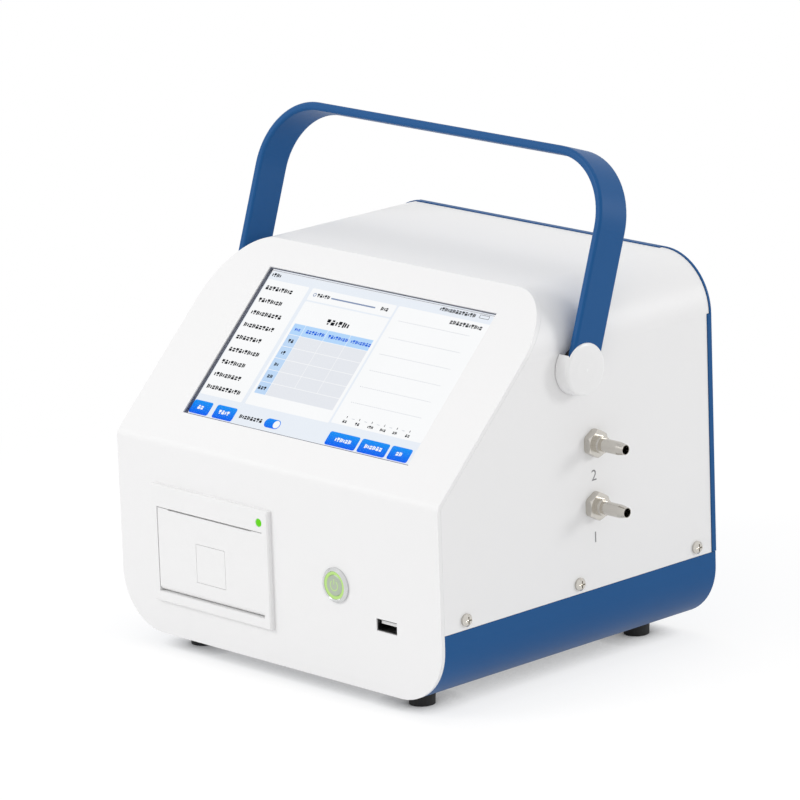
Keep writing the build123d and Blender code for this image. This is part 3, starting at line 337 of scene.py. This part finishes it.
solder_mask = moulded("solder_mask", (0.02, 0.16, 0.06), 0.25, 0.4)
heat_paper = moulded("heat_paper", (0.88, 0.88, 0.86), 0.7, 0.85)
ceramic = moulded("ground_ceramic", (0.72, 0.70, 0.64))
soft_hose = moulded("soft_hose", (0.70, 0.70, 0.66), 0.25, 0.4)
shrink_sleeve = moulded("shrink_sleeve", (0.03, 0.08, 0.30))
print("button centre in mm:", [round(v / MM, 1) for v in BUTTON_CENTRE])

# %% [markdown]
# ## Light that comes from inside
#
# The display, the status lamp and the ring of the power button shine. Their light is never quite
# even, so one group mixes two near shades with a soft noise and feeds the emission. The strength
# stays near 1, where a colour shows as it is written and nothing glows beyond itself.

# %% lit materials
def srgb(red, green, blue):
    """A screen colour, 0 to 255, as the linear colour that a shader takes."""
    def one(value):
        value /= 255
        return value / 12.92 if value <= 0.04045 else ((value + 0.055) / 1.055) ** 2.4
    return (one(red), one(green), one(blue))


def uneven_glow():
    """Two near shades of light, mixed by a soft noise."""
    inputs = [("Colour", COLOUR, (1, 1, 1, 1)), ("Shade", COLOUR, (0.9, 0.9, 0.9, 1))]
    outputs = [("Colour", COLOUR), ("Roughness", FLOAT)]
    tree, start, end = open_group("uneven_glow", inputs, outputs)
    place = tree.nodes.new("ShaderNodeTexCoord").outputs["Object"]
    cloud = add(tree, "ShaderNodeTexNoise", {"Vector": place}, Scale=30).outputs["Fac"]
    mix = tree.nodes.new("ShaderNodeMix")
    mix.data_type = "RGBA"
    tree.links.new(cloud, mix.inputs["Factor"])
    tree.links.new(start.outputs["Colour"], mix.inputs[6])
    tree.links.new(start.outputs["Shade"], mix.inputs[7])
    tree.links.new(mix.outputs[2], end.inputs["Colour"])
    tree.links.new(spread(tree, cloud, 0.3, 0.5), end.inputs["Roughness"])
    return tree


GLOW = uneven_glow()


def lit(name, colour, strength=1.0):
    """A lit face in a screen colour."""
    material = bpy.data.materials.new(name)
    material.use_nodes = True
    tree = material.node_tree
    shader = tree.nodes["Principled BSDF"]
    shader.inputs["Base Color"].default_value = (0.004, 0.004, 0.004, 1)
    shader.inputs["Emission Strength"].default_value = strength
    shader.inputs["Specular IOR Level"].default_value = 0.05
    light = srgb(*colour)
    node = tree.nodes.new("ShaderNodeGroup")
    node.node_tree = GLOW
    node.inputs["Colour"].default_value = (*light, 1)
    node.inputs["Shade"].default_value = (*(0.97 * part for part in light), 1)
    tree.links.new(node.outputs["Colour"], shader.inputs["Emission Color"])
    tree.links.new(node.outputs["Roughness"], shader.inputs["Roughness"])
    return material


status_green = lit("status_green", (104, 214, 28))
ring_green = lit("ring_green", (190, 228, 138))
symbol_green = lit("symbol_green", (192, 222, 150))
print("lit materials start with:", status_green.name, ring_green.name)

# %% [markdown]
# ## The touch glass
#
# A flat pane stands a little below the plate, in a rubber lip. It is clear, with a trace of finger
# haze that changes its roughness by a few hundredths. Its colour is plain white, so that it doesn't
# darken the display under it, and its index of refraction is low: that stands for the coating that
# keeps the room's reflection off the dark writing.

# %% touch glass
def clear_glass():
    """Clear glass with a faint haze."""
    material = bpy.data.materials.new("touch_glass")
    material.use_nodes = True
    tree = material.node_tree
    shader = tree.nodes["Principled BSDF"]
    shader.inputs["Base Color"].default_value = (1, 1, 1, 1)
    shader.inputs["Transmission Weight"].default_value = 1.0
    shader.inputs["Metallic"].default_value = 0.0
    shader.inputs["IOR"].default_value = 1.08
    place = tree.nodes.new("ShaderNodeTexCoord").outputs["Object"]
    smear = add(tree, "ShaderNodeTexNoise", {"Vector": place}, Scale=14).outputs["Fac"]
    tree.links.new(spread(tree, smear, 0.0, 0.03), shader.inputs["Roughness"])
    return material


touch_glass = clear_glass()
print("glass:", touch_glass.name)

# %% [markdown]
# ## Finishes for the CAD nodes
#
# The record names a material slot for each node. One table turns slots into materials, and three
# nodes take a finish of their own: the button's ring and cap, and the socket's nickel shell,
# painted near black for the shade deep inside the socket.

# %% give every node its finish
LOOK = {
    "white_paint": white_powder, "blue_paint": blue_powder, "white_plastic": white_moulding,
    "black_plastic": black_moulding, "black_foam": grey_seal, "black_rubber": black_rubber,
    "glass_touch": touch_glass, "display": black_moulding, "zinc_sheet": zinc, "steel": steel,
    "nickel": nickel, "board_green": solder_mask, "lamp_green": status_green,
    "paper": heat_paper, "aluminium": aluminium, "ceramic": ceramic, "clear_hose": soft_hose,
    "battery_wrap": shrink_sleeve,
}
OWN_LOOK = {
    "power_button_ring": ring_green,
    "power_button_cap": button_steel,
    # painted shade: the shell is darkened for the shade inside the socket
    "usb_shell": shell_painted_shade,
}
for piece in RECORD["subparts"]:
    materials = NODES[piece["node"]].data.materials
    materials.clear()
    materials.append(OWN_LOOK.get(piece["node"], LOOK[piece["material_slot"]]))
print("finishes given to", len(RECORD["subparts"]), "nodes")

# %% [markdown]
# ## Places on the display
#
# The picture lies on the display module's face, under the glass, so it needs the slope's own
# directions: across the body, up the slope and out of it. The slope rises at 45 degrees. Places are
# given in millimetres from the body's left edge and up from the bend, as one would measure them on
# the real plate.

# %% the slope's directions
SLOPE_ANGLE = math.radians(45)
BODY_LEFT, BEND_HEIGHT = -110.0, 104.0      # mm
MODULE_DEPTH = 2.5                          # display face below the plate's, mm
plate_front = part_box("front_panel")[0].y
UP = Vector((0, math.cos(SLOPE_ANGLE), math.sin(SLOPE_ANGLE)))
OUT = Vector((0, -math.sin(SLOPE_ANGLE), math.cos(SLOPE_ANGLE)))
BEND = Vector((BODY_LEFT * MM, plate_front, BEND_HEIGHT * MM))


def on_slope(x, s, depth):
    """A place on the display: x from the left edge, s up the slope, depth below the plate."""
    return BEND + (Vector((x, 0, 0)) + UP * s - OUT * depth) * MM


glass_low, glass_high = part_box("touch_glass")
glass_left, glass_right = ((corner.x - BEND.x) / MM for corner in (glass_low, glass_high))
print("glass from", round(glass_left, 1), "to", round(glass_right, 1), "mm across")

# %% [markdown]
# ## Flat pieces
#
# A lit picture has no thickness, so each of its colours is one mesh of many flat outlines, laid a
# few hundredths of a millimetre over the one below. A picture painted on one plane would need an
# image; outlines stay sharp at any size.

# %% flat pieces and tiles
FIRST_LAYER, LAYER = 0.005, 0.03        # first layer over the module, step to the next, mm
BORDER, PAGE, PANEL, CELL, INK = (MODULE_DEPTH - FIRST_LAYER - LAYER * k for k in range(5))
CORNER_STEPS = 5


def flat_piece(name, loops, material, body="housing"):
    """A mesh made of flat outlines, each a list of places."""
    points, faces = [], []
    for loop in loops:
        faces.append(tuple(range(len(points), len(points) + len(loop))))
        points.extend(tuple(place) for place in loop)
    mesh = bpy.data.meshes.new(name)
    mesh.from_pydata(points, [], faces)
    mesh.update()
    mesh.materials.append(material)
    piece = bpy.data.objects.new(name, mesh)
    bpy.context.scene.collection.objects.link(piece)
    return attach(piece, body)


def tile(x, s, depth, radius=0.0):
    """A rectangle on the display from two (low, high) pairs, its corners rounded if asked."""
    if not radius:
        corners = ((x[0], s[0]), (x[1], s[0]), (x[1], s[1]), (x[0], s[1]))
        return [on_slope(across, rise, depth) for across, rise in corners]
    loop = []
    turns = ((x[1] - radius, s[0] + radius, -90), (x[1] - radius, s[1] - radius, 0))
    turns += ((x[0] + radius, s[1] - radius, 90), (x[0] + radius, s[0] + radius, 180))
    for centre_x, centre_s, turn in turns:
        for step in range(CORNER_STEPS + 1):
            angle = math.radians(turn + 90 * step / CORNER_STEPS)
            across = centre_x + radius * math.cos(angle)
            loop.append(on_slope(across, centre_s + radius * math.sin(angle), depth))
    return loop


def line(x, s, thickness, depth=INK):
    """A level line of the picture."""
    return tile(x, (s - thickness / 2, s + thickness / 2), depth)


print("layers in mm below the plate:", [round(v, 3) for v in (BORDER, PAGE, PANEL, CELL, INK)])

# %% [markdown]
# ## The page and its panels
#
# The instrument shows a light blue page with white panels: a list of entries on the left, a slider
# above a table in the middle, and an empty chart on the right. Round the page a white border is
# printed behind the glass. A thin navy line along its top is painted shade and reflection, where
# the plate's edge stands over the glass at the top of the window.

# %% page and panels
BORDER_S = (17.7, 102.5)
# place and thickness of the painted shade line along the top of the window
SHADE_LINE_HEIGHT, SHADE_LINE_THICK = 102.35, 0.4
PAGE_X, PAGE_S = (35.0, 186.8), (17.9, 102.0)
PAGE_CORNER, PANEL_CORNER = 2.4, 0.8
SIDEBAR_X = (35.5, 64.5)
TABLE_X = (67.0, 124.7)
CHART_X = (126.0, 186.6)
CARD_FOOT = 30.4
GLASS_MARGIN = 0.05

border_white = lit("screen_border", (246, 247, 249), 0.96)
page_blue = lit("screen_page", (240, 246, 254), 0.94)
panel_white = lit("screen_panels", (253, 254, 255), 0.97)
# a lit navy strip at the top of the window: painted shade and reflection of the plate's edge
painted_shade_navy = lit("screen_edge_painted_shade", (44, 54, 96), 0.9)
glass_span = (glass_left + GLASS_MARGIN, glass_right - GLASS_MARGIN)
flat_piece("screen_border", [tile(glass_span, BORDER_S, BORDER)], border_white)
flat_piece("screen_page", [tile(PAGE_X, PAGE_S, PAGE, PAGE_CORNER)], page_blue)
flat_piece("screen_edge_painted_shade", [line(glass_span, SHADE_LINE_HEIGHT, SHADE_LINE_THICK, PANEL)], painted_shade_navy)
flat_piece("screen_panels", [
    tile(SIDEBAR_X, (CARD_FOOT, 97.2), PANEL, PANEL_CORNER),
    tile(TABLE_X, (90.5, 97.3), PANEL, PANEL_CORNER),
    tile(TABLE_X, (CARD_FOOT, 89.7), PANEL, PANEL_CORNER),
    tile(CHART_X, (31.0, 97.4), PANEL, PANEL_CORNER),
], panel_white)
print("page:", PAGE_X, PAGE_S)

# %% [markdown]
# ## The table
#
# Three columns and five rows under a blue header, with a blue column of labels. The last row is one
# wide cell. All its lines come from two lists of edges, so each cell is what is left between them.

# %% table
COLUMNS = [68.5, 76.4, 91.9, 107.3, 122.8]
ROWS = [70.7, 63.9, 57.1, 50.4, 43.6, 36.8]
HEADER_TOP = 77.0
GAP = 0.25

header_blue = lit("screen_header", (182, 218, 255), 0.97)
column_blue = lit("screen_column", (193, 220, 250), 0.97)
cell_grey = lit("screen_cells", (233, 236, 242), 0.97)
row_spans = [(low + GAP, high) for high, low in zip(ROWS, ROWS[1:])]
column_spans = [(left + GAP, right) for left, right in zip(COLUMNS, COLUMNS[1:])]
header = [tile(x, (ROWS[0] + GAP, HEADER_TOP), CELL) for x in column_spans]
flat_piece("screen_header", header, header_blue)
labels = [tile(column_spans[0], s, CELL) for s in row_spans]
flat_piece("screen_column", labels, column_blue)
cells = [tile(x, s, CELL) for s in row_spans[:-1] for x in column_spans[1:]]
cells.append(tile((COLUMNS[1] + GAP, COLUMNS[-1]), row_spans[-1], CELL))
flat_piece("screen_cells", cells, cell_grey)
print("table cells:", len(cells))

# %% [markdown]
# ## Writing that says nothing
#
# The display is full of writing, which stays generic here. Each sign is one or two small blocks
# that belong to no alphabet, and a row of them fills the length that a line of writing has. From
# where one stands, it reads as small bold print. A font would say something, or be too light.

# %% signs
# Each sign: its width, then its blocks (left, right, foot, top), all in shares of its height.
SIGNS = (
    (0.80, ((0.00, 0.80, 0.00, 0.58), (0.12, 0.68, 0.68, 1.0))),
    (0.80, ((0.00, 0.36, 0.00, 1.00), (0.46, 0.80, 0.12, 0.9))),
    (0.76, ((0.00, 0.76, 0.42, 1.00), (0.20, 0.56, 0.00, 0.3))),
    (0.72, ((0.00, 0.72, 0.00, 0.42), (0.00, 0.72, 0.54, 0.9))),
    (0.34, ((0.00, 0.34, 0.10, 0.80),)),
)
SIGN_GAP = 0.24
SHORTEST_SIGN = 0.3


def writing(x, s, size, seed=0, depth=INK):
    """A row of signs between two places, its middle at s."""
    loops = []
    left = x[0]
    index = 0
    while left < x[1] - SHORTEST_SIGN * size:
        width, blocks = SIGNS[(index * 3 + index // 2 + seed * 2) % len(SIGNS)]
        for x_low, x_high, s_low, s_high in blocks:
            across = (left + x_low * size, left + x_high * size)
            rise = (s + (s_low - 0.5) * size, s + (s_high - 0.5) * size)
            loops.append(tile(across, rise, depth))
        left += (width + SIGN_GAP) * size
        index += 1
    return loops


def centred(middle, length, s, size, seed=0):
    """A row of signs about a middle."""
    return writing((middle - length / 2, middle + length / 2), s, size, seed)


print("signs:", len(SIGNS))

# %% [markdown]
# ## The dark writing
#
# A label in the corner, nine entries in the list, the slider's label and value, the table's title
# and row labels, the line beside the battery sign, the chart's heading, the switch's label and the
# numbers under the chart. The list is even, so a pitch gives the heights of its entries.

# %% dark writing
ENTRY_LENGTHS = (19.0, 17.0, 21.0, 21.8, 17.4, 20.8, 17.0, 18.2, 22.2)
ENTRY_X, ENTRY_TOP, ENTRY_PITCH, ENTRY_SIZE = 37.3, 92.6, 7.2, 2.3
LABEL_LENGTHS, LABEL_SIZE = (3.2, 3.2, 3.2, 3.2, 6.2), 1.9
TICK_FIRST, TICK_PITCH, TICK_COUNT = 134.2, 8.4, 6
TICK_LEFT, TICK_RIGHT, TICK_S = 0.3, 0.1, (34.9, 36.0)
NUMBER_LENGTH, NUMBER_S, NUMBER_SIZE = 3.0, 33.0, 1.5
BATTERY_X, BATTERY_S = (177.6, 183.6), (99.8, 101.5)
BATTERY_LEVEL, BATTERY_EDGE = 0.22, 0.12            # line thickness, half of it at the ends
# Single lines: their ends, their height up the slope, the size and the seed of their signs.
CORNER_LABEL = ((36.6, 43.6), 99.9, 2.0, 2)
SINGLE_LINES = (
    ((72.3, 80.9), 94.0, 1.9, 1),           # slider's label
    ((116.0, 121.2), 94.1, 2.0, 3),         # slider's value
    ((87.8, 104.1), 81.4, 3.0, 1),          # table's title
    ((151.6, 175.2), 100.4, 2.0, 2),        # line beside the battery sign
    ((162.0, 182.4), 94.7, 2.1, 4),         # chart's heading
    ((68.6, 84.4), 23.4, 2.1, 3),           # switch's label
)

black_ink = lit("screen_ink", (6, 10, 20))
dark = writing(*CORNER_LABEL)
for index, length in enumerate(ENTRY_LENGTHS):
    entry = (ENTRY_X, ENTRY_X + length)
    dark += writing(entry, ENTRY_TOP - ENTRY_PITCH * index, ENTRY_SIZE, index)
for single in SINGLE_LINES:
    dark += writing(*single)
label_middle = sum(column_spans[0]) / 2
for index, (span, length) in enumerate(zip(row_spans, LABEL_LENGTHS)):
    dark += centred(label_middle, length, sum(span) / 2, LABEL_SIZE, index + 1)
for index in range(TICK_COUNT):
    tick = TICK_FIRST + TICK_PITCH * index
    dark += centred(tick, NUMBER_LENGTH, NUMBER_S, NUMBER_SIZE, index)
    dark.append(tile((tick - TICK_LEFT, tick + TICK_RIGHT), TICK_S, INK))
dark += [line(BATTERY_X, level, BATTERY_LEVEL) for level in BATTERY_S]
for edge in BATTERY_X:
    dark.append(tile((edge - BATTERY_EDGE, edge + BATTERY_EDGE), BATTERY_S, INK))
flat_piece("screen_ink", dark, black_ink)
print("dark blocks:", len(dark))

# %% [markdown]
# ## The blue and grey writing
#
# The header's words are blue on light blue. The slider is a grey-blue bar with a ring at its left,
# and the chart has six dotted lines.

# %% blue and grey writing
HEADER_S = 74.0
FIRST_WORD, FIRST_WORD_SIZE = (70.9, 74.6), 1.5
HEADER_LEFTS, HEADER_LENGTH, HEADER_SIZE = (78.8, 94.0, 109.6), 12.6, 1.9
SLIDER_BAR = ((81.9, 112.2), (93.4, 94.2))
SLIDER_RING = ((69.4, 71.5), (92.9, 95.0))
RING_HOLE = ((69.8, 71.1), (93.3, 94.6))
CHART_LINES = (89.6, 80.1, 70.8, 61.5, 52.3, 43.4)
DOT_PITCH, DOT_LENGTH, DOT_THICK = 1.4, 0.75, 0.2
DASH_HALF, DASH_S = 0.9, 35.1
CHART_LINE_X = (131.0, 179.6)

blue_ink = lit("screen_blue_ink", (10, 96, 222))
grey_ink = lit("screen_grey_ink", (168, 174, 186))
slider_ink = lit("screen_slider", (134, 150, 182))
words = writing(FIRST_WORD, HEADER_S, FIRST_WORD_SIZE, 3)
for seed, left in enumerate(HEADER_LEFTS):
    words += writing((left, left + HEADER_LENGTH), HEADER_S, HEADER_SIZE, seed)
flat_piece("screen_blue_words", words, blue_ink)
dot_count = int((CHART_LINE_X[1] - CHART_LINE_X[0]) / DOT_PITCH)
dotted = []
for level in CHART_LINES:
    for index in range(dot_count):
        left = CHART_LINE_X[0] + DOT_PITCH * index
        dotted.append(line((left, left + DOT_LENGTH), level, DOT_THICK))
for index in range(TICK_COUNT - 1):
    middle = TICK_FIRST + TICK_PITCH * (index + 0.5)
    dotted.append(line((middle - DASH_HALF, middle + DASH_HALF), DASH_S, DOT_THICK))
flat_piece("screen_grey_lines", dotted, grey_ink)
flat_piece("screen_slider", [
    tile(*SLIDER_BAR, INK, 0.38),
    tile(*SLIDER_RING, CELL, 1.04),
], slider_ink)
flat_piece("screen_ring_hole", [tile(*RING_HOLE, INK, 0.64)], panel_white)
print("dots on the chart:", len(dotted))

# %% [markdown]
# ## The keys
#
# Five keys and a switch in a strong blue that lightens towards the top. The height of a place above
# the keys' foot runs through a colour ramp, which stays right however the keys are laid out.

# %% keys
KEY_S = (19.4, 26.8)
KEY_SPANS = ((35.0, 48.2), (51.2, 65.2), (129.3, 149.6), (151.0, 169.5), (171.0, 184.5))
KEY_WORDS = (4.4, 8.0, 9.6, 11.6, 4.6)
KEY_CORNER, KEY_WORD_S, KEY_WORD_SIZE = 1.2, 23.2, 2.1
SWITCH_X, SWITCH_S, SWITCH_CORNER = (86.1, 96.7), (20.9, 25.9), 2.45
KNOB_WIDE, KNOB_INSET, KNOB_CORNER = 4.15, 0.45, 2.0


def key_blue():
    """Blue light, brighter towards the top of the keys."""
    material = bpy.data.materials.new("screen_keys")
    material.use_nodes = True
    tree = material.node_tree
    shader = tree.nodes["Principled BSDF"]
    place = tree.nodes.new("ShaderNodeTexCoord").outputs["Object"]
    height = add(tree, "ShaderNodeSeparateXYZ", {"Vector": place}).outputs["Z"]
    rise = add(tree, "ShaderNodeMapRange", {"Value": height})
    rise.inputs["From Min"].default_value = on_slope(0, KEY_S[0], CELL).z
    rise.inputs["From Max"].default_value = on_slope(0, KEY_S[1], CELL).z
    shades = [(0.0, srgb(0, 94, 238)), (1.0, srgb(12, 144, 244))]
    light = ramp(tree, rise.outputs["Result"], shades)
    tree.links.new(light, shader.inputs["Emission Color"])
    shader.inputs["Emission Strength"].default_value = 1.0
    shader.inputs["Specular IOR Level"].default_value = 0.05
    shader.inputs["Base Color"].default_value = (0.004, 0.006, 0.01, 1)
    return material


keys = [tile(span, KEY_S, CELL, KEY_CORNER) for span in KEY_SPANS]
keys.append(tile(SWITCH_X, SWITCH_S, CELL, SWITCH_CORNER))
flat_piece("screen_keys", keys, key_blue())
key_words = []
for index, (span, length) in enumerate(zip(KEY_SPANS, KEY_WORDS)):
    key_words += centred(sum(span) / 2, length, KEY_WORD_S, KEY_WORD_SIZE, index)
knob_x = (SWITCH_X[1] - KNOB_INSET - KNOB_WIDE, SWITCH_X[1] - KNOB_INSET)
knob_s = (SWITCH_S[0] + KNOB_INSET, SWITCH_S[1] - KNOB_INSET)
key_words.append(tile(knob_x, knob_s, INK, KNOB_CORNER))
flat_piece("screen_key_words", key_words, panel_white)
print("keys:", len(KEY_SPANS))

# %% [markdown]
# ## The power sign
#
# The cap of the button carries the usual ring with a gap and a bar, lit like the ring round it. It
# is built of short flat faces round the cap's middle, and it rides on the button, so that it goes
# in when the button is pushed.

# %% power sign
SIGN_INNER, SIGN_OUTER = 2.15, 2.7      # radii in mm
SIGN_OPEN = 36                          # degrees left open each side of the bar
SIGN_STEPS = 40
BAR_HALF, BAR_FOOT, BAR_TOP = 0.28, 0.5, 3.1
SIGN_LIFT = 0.03


def on_cap(x, z):
    """A place on the button's cap, in mm from its middle."""
    middle_x, _, middle_z = BUTTON_CENTRE
    return Vector((middle_x + x * MM, button_low.y - SIGN_LIFT * MM, middle_z + z * MM))


def round_cap(radius, turn):
    """A place on the cap from its distance from the middle and its angle from the top."""
    return on_cap(radius * math.sin(turn), radius * math.cos(turn))


sweep = 360 - 2 * SIGN_OPEN
sign = []
for step in range(SIGN_STEPS):
    ends = (SIGN_OPEN + sweep * step / SIGN_STEPS, SIGN_OPEN + sweep * (step + 1) / SIGN_STEPS)
    first, last = (math.radians(angle) for angle in ends)
    inner = [round_cap(SIGN_INNER, first), round_cap(SIGN_INNER, last)]
    sign.append(inner + [round_cap(SIGN_OUTER, last), round_cap(SIGN_OUTER, first)])
feet = [on_cap(-BAR_HALF, BAR_FOOT), on_cap(BAR_HALF, BAR_FOOT)]
sign.append(feet + [on_cap(BAR_HALF, BAR_TOP), on_cap(-BAR_HALF, BAR_TOP)])
flat_piece("power_symbol", sign, symbol_green, body="power_button")
print("power sign of", len(sign), "faces")

# %% [markdown]
# ## Numerals beside the fittings
#
# Each hose fitting has a plain numeral printed below it on the right side. A text object is turned
# into a mesh and its flat face is laid a few hundredths of a millimetre off the cover.

# %% numerals
NUMERAL_SIZE = 7.5
NUMERAL_Y = 10.3
PRINT_LIFT = 0.03
grey_print = moulded("grey_print", (0.23, 0.23, 0.24), 0.4, 0.5)
cover_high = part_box("top_cover")[1]


def numeral(text, foot):
    """A numeral on the right side, its foot a given height above the table in mm."""
    font = bpy.data.curves.new("numeral_" + text, "FONT")
    font.body = text
    font.size = NUMERAL_SIZE * MM
    font.align_x = "CENTER"
    shape = bpy.data.objects.new("numeral_" + text, font)
    bpy.context.scene.collection.objects.link(shape)
    bpy.context.view_layer.update()
    graph = bpy.context.evaluated_depsgraph_get()
    mesh = bpy.data.meshes.new_from_object(shape.evaluated_get(graph))
    bpy.data.objects.remove(shape)
    mesh.transform(Matrix((
        (0, 0, 1, cover_high.x + PRINT_LIFT * MM),
        (1, 0, 0, NUMERAL_Y * MM),
        (0, 1, 0, foot * MM),
        (0, 0, 0, 1),
    )))
    mesh.materials.clear()
    mesh.materials.append(grey_print)
    piece = bpy.data.objects.new("numeral_" + text, mesh)
    bpy.context.scene.collection.objects.link(piece)
    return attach(piece, "housing")


numeral("2", 95.5)
numeral("1", 65.5)
print("numerals on the side at x =", round(cover_high.x / MM, 2), "mm")

# %% [markdown]
# ## Floor
#
# The counter stands on a white sweep. A real sweep is lit until it goes white and keeps only the
# soft contact shadow. Here the floor is a pale matt surface for the light that reaches the object,
# and for the eye it is lifted by a plain glow that fades into full white further out. The glow dies
# where the body closes off the sky, which leaves the dark contact shadow under its edge.

# %% floor
FLOOR_LIFT = 0.79
CONTACT_REACH = 0.017                   # m
CONTACT_GLOW = ((0.1, 0.0), (0.25, 0.55), (0.45, 0.78), (0.9, FLOOR_LIFT))     # openness, glow
FLOOR_HALF = 6.0                        # m
FADE_START, FADE_END = 0.24, 0.46       # m from the middle


def seen_rays(tree):
    """1 for rays that come straight to the eye or through a mirror or glass, else 0."""
    path = tree.nodes.new("ShaderNodeLightPath")
    direct = maths(tree, "MAXIMUM", path.outputs["Is Camera Ray"], path.outputs["Is Glossy Ray"])
    return maths(tree, "MAXIMUM", direct, path.outputs["Is Transmission Ray"])


def pale_floor():
    """Matt white for light that bounces, lifted to near white for the eye."""
    material = bpy.data.materials.new("pale_floor")
    material.use_nodes = True
    tree = material.node_tree
    tree.nodes.clear()
    place = tree.nodes.new("ShaderNodeTexCoord").outputs["Object"]
    cloud = add(tree, "ShaderNodeTexNoise", {"Vector": place}, Scale=3).outputs["Fac"]
    bounce_tint = ramp(tree, cloud, [(0.3, (0.90, 0.90, 0.905)), (0.7, (0.91, 0.91, 0.915))])
    seen_tint = ramp(tree, cloud, [(0.3, (0.250, 0.249, 0.248)), (0.7, (0.255, 0.254, 0.253))])
    bounce = add(tree, "ShaderNodeBsdfDiffuse", {"Color": bounce_tint})
    seen = add(tree, "ShaderNodeBsdfDiffuse", {"Color": seen_tint})
    open_sky = add(tree, "ShaderNodeAmbientOcclusion", Distance=CONTACT_REACH).outputs["AO"]
    glow = ramp(tree, open_sky, [(share, (level, level, level)) for share, level in CONTACT_GLOW])
    lift = add(tree, "ShaderNodeEmission", {"Color": glow}, Strength=1.0)
    lifted = tree.nodes.new("ShaderNodeAddShader")
    tree.links.new(seen.outputs["BSDF"], lifted.inputs[0])
    tree.links.new(lift.outputs["Emission"], lifted.inputs[1])
    white = add(tree, "ShaderNodeEmission", Strength=1.0)
    away = vector_math(tree, "LENGTH", place).outputs["Value"]
    fade = add(tree, "ShaderNodeMapRange", {"Value": away})
    fade.interpolation_type = "SMOOTHSTEP"
    fade.inputs["From Min"].default_value = FADE_START
    fade.inputs["From Max"].default_value = FADE_END
    near = tree.nodes.new("ShaderNodeMixShader")
    tree.links.new(fade.outputs["Result"], near.inputs["Fac"])
    tree.links.new(lifted.outputs["Shader"], near.inputs[1])
    tree.links.new(white.outputs["Emission"], near.inputs[2])
    choose = tree.nodes.new("ShaderNodeMixShader")
    tree.links.new(seen_rays(tree), choose.inputs["Fac"])
    tree.links.new(bounce.outputs["BSDF"], choose.inputs[1])
    tree.links.new(near.outputs["Shader"], choose.inputs[2])
    end = tree.nodes.new("ShaderNodeOutputMaterial")
    tree.links.new(choose.outputs["Shader"], end.inputs["Surface"])
    return material


mesh = bpy.data.meshes.new("floor")
quarters = ((-1, -1), (1, -1), (1, 1), (-1, 1))
mesh.from_pydata([(x * FLOOR_HALF, y * FLOOR_HALF, 0) for x, y in quarters], [], [(0, 1, 2, 3)])
mesh.materials.append(pale_floor())
floor = bpy.data.objects.new("floor", mesh)
bpy.context.scene.collection.objects.link(floor)
print("floor lifted by", FLOOR_LIFT)

# %% [markdown]
# ## Surroundings
#
# The room is a white tent. Where it is seen, straight or in a mirror or through glass, it is plain
# white. Where it lights the object it has a lower level, so that white paint stays below white.

# %% world
WORLD_LEVEL = 0.70
world = bpy.data.worlds.new("studio")
bpy.context.scene.world = world
world.use_nodes = True
tree = world.node_tree
tree.nodes.clear()
soft = add(tree, "ShaderNodeBackground", Strength=WORLD_LEVEL)
plain = add(tree, "ShaderNodeBackground", Strength=1.0)
for background in (soft, plain):
    background.inputs["Color"].default_value = (1, 1, 1, 1)
choose = tree.nodes.new("ShaderNodeMixShader")
tree.links.new(seen_rays(tree), choose.inputs["Fac"])
tree.links.new(soft.outputs["Background"], choose.inputs[1])
tree.links.new(plain.outputs["Background"], choose.inputs[2])
end = tree.nodes.new("ShaderNodeOutputWorld")
tree.links.new(choose.outputs["Shader"], end.inputs["Surface"])
print("world level:", WORLD_LEVEL)

# %% [markdown]
# ## Three soft lamps
#
# Most of the light comes from the white surroundings. A large box at the front left opens up the
# front and the slope, a weak one overhead lightens the top, and a smaller one from behind on the
# right draws the soft shadows of the hub, the bail and the fittings on the side.

# %% lamps
BODY_MIDDLE = (0, 0, 0.1)


def area_light(name, place, size, power):
    """A round soft lamp that faces the body."""
    data = bpy.data.lights.new(name, "AREA")
    data.shape = "DISK"
    data.size = size
    data.energy = power
    lamp = bpy.data.objects.new(name, data)
    lamp.location = place
    aim = Vector(BODY_MIDDLE) - Vector(place)
    lamp.rotation_euler = aim.to_track_quat("-Z", "Y").to_euler()
    bpy.context.scene.collection.objects.link(lamp)
    return lamp


lamps = [
    area_light("front_box", (-0.9, -1.9, 1.4), 1.2, 18),
    area_light("top_box", (0.1, 0.3, 2.2), 1.4, 5),
    area_light("side_box", (1.5, 1.4, 0.7), 0.65, 8),
]
print("lamps:", [lamp.name for lamp in lamps])

# %% [markdown]
# ## The camera
#
# It stands to the right of the front, a little above the counter, and rather far away with a long
# lens, so that the case keeps its shape. Its directions come from three angles, and its place from
# how far it is moved across, up and back from the body's lower front left corner.

# %% camera
AZIMUTH, ELEVATION, ROLL = math.radians(46.35), math.radians(14.56), math.radians(-2.0)
ACROSS, ABOVE, BACK_OFF = 132.99, 107.78, 2817.7     # mm from the corner
FOCAL_SHARE = 7.2585                                 # focal length over sensor width
SENSOR = 36.0
CORNER = Vector((-110, -92, 8))                      # mm
CLIP_END = 100                                       # m

level_right = Vector((math.cos(AZIMUTH), math.sin(AZIMUTH), 0))
level_back = Vector((math.sin(AZIMUTH), -math.cos(AZIMUTH), 0))
back = level_back * math.cos(ELEVATION) + Vector((0, 0, math.sin(ELEVATION)))
level_up = back.cross(level_right)
right = math.cos(ROLL) * level_right + math.sin(ROLL) * level_up
up = math.cos(ROLL) * level_up - math.sin(ROLL) * level_right
eye = (CORNER + ACROSS * right + ABOVE * up + BACK_OFF * back) * MM
lens = bpy.data.cameras.new("camera")
lens.sensor_width = SENSOR
lens.lens = FOCAL_SHARE * SENSOR
lens.clip_end = CLIP_END
camera = bpy.data.objects.new("camera", lens)
camera.matrix_world = Matrix((
    (right.x, up.x, back.x, eye.x),
    (right.y, up.y, back.y, eye.y),
    (right.z, up.z, back.z, eye.z),
    (0, 0, 0, 1),
))
bpy.context.scene.collection.objects.link(camera)
bpy.context.scene.camera = camera
bpy.context.scene.view_settings.view_transform = "Standard"
print("camera at", [round(v, 3) for v in eye])
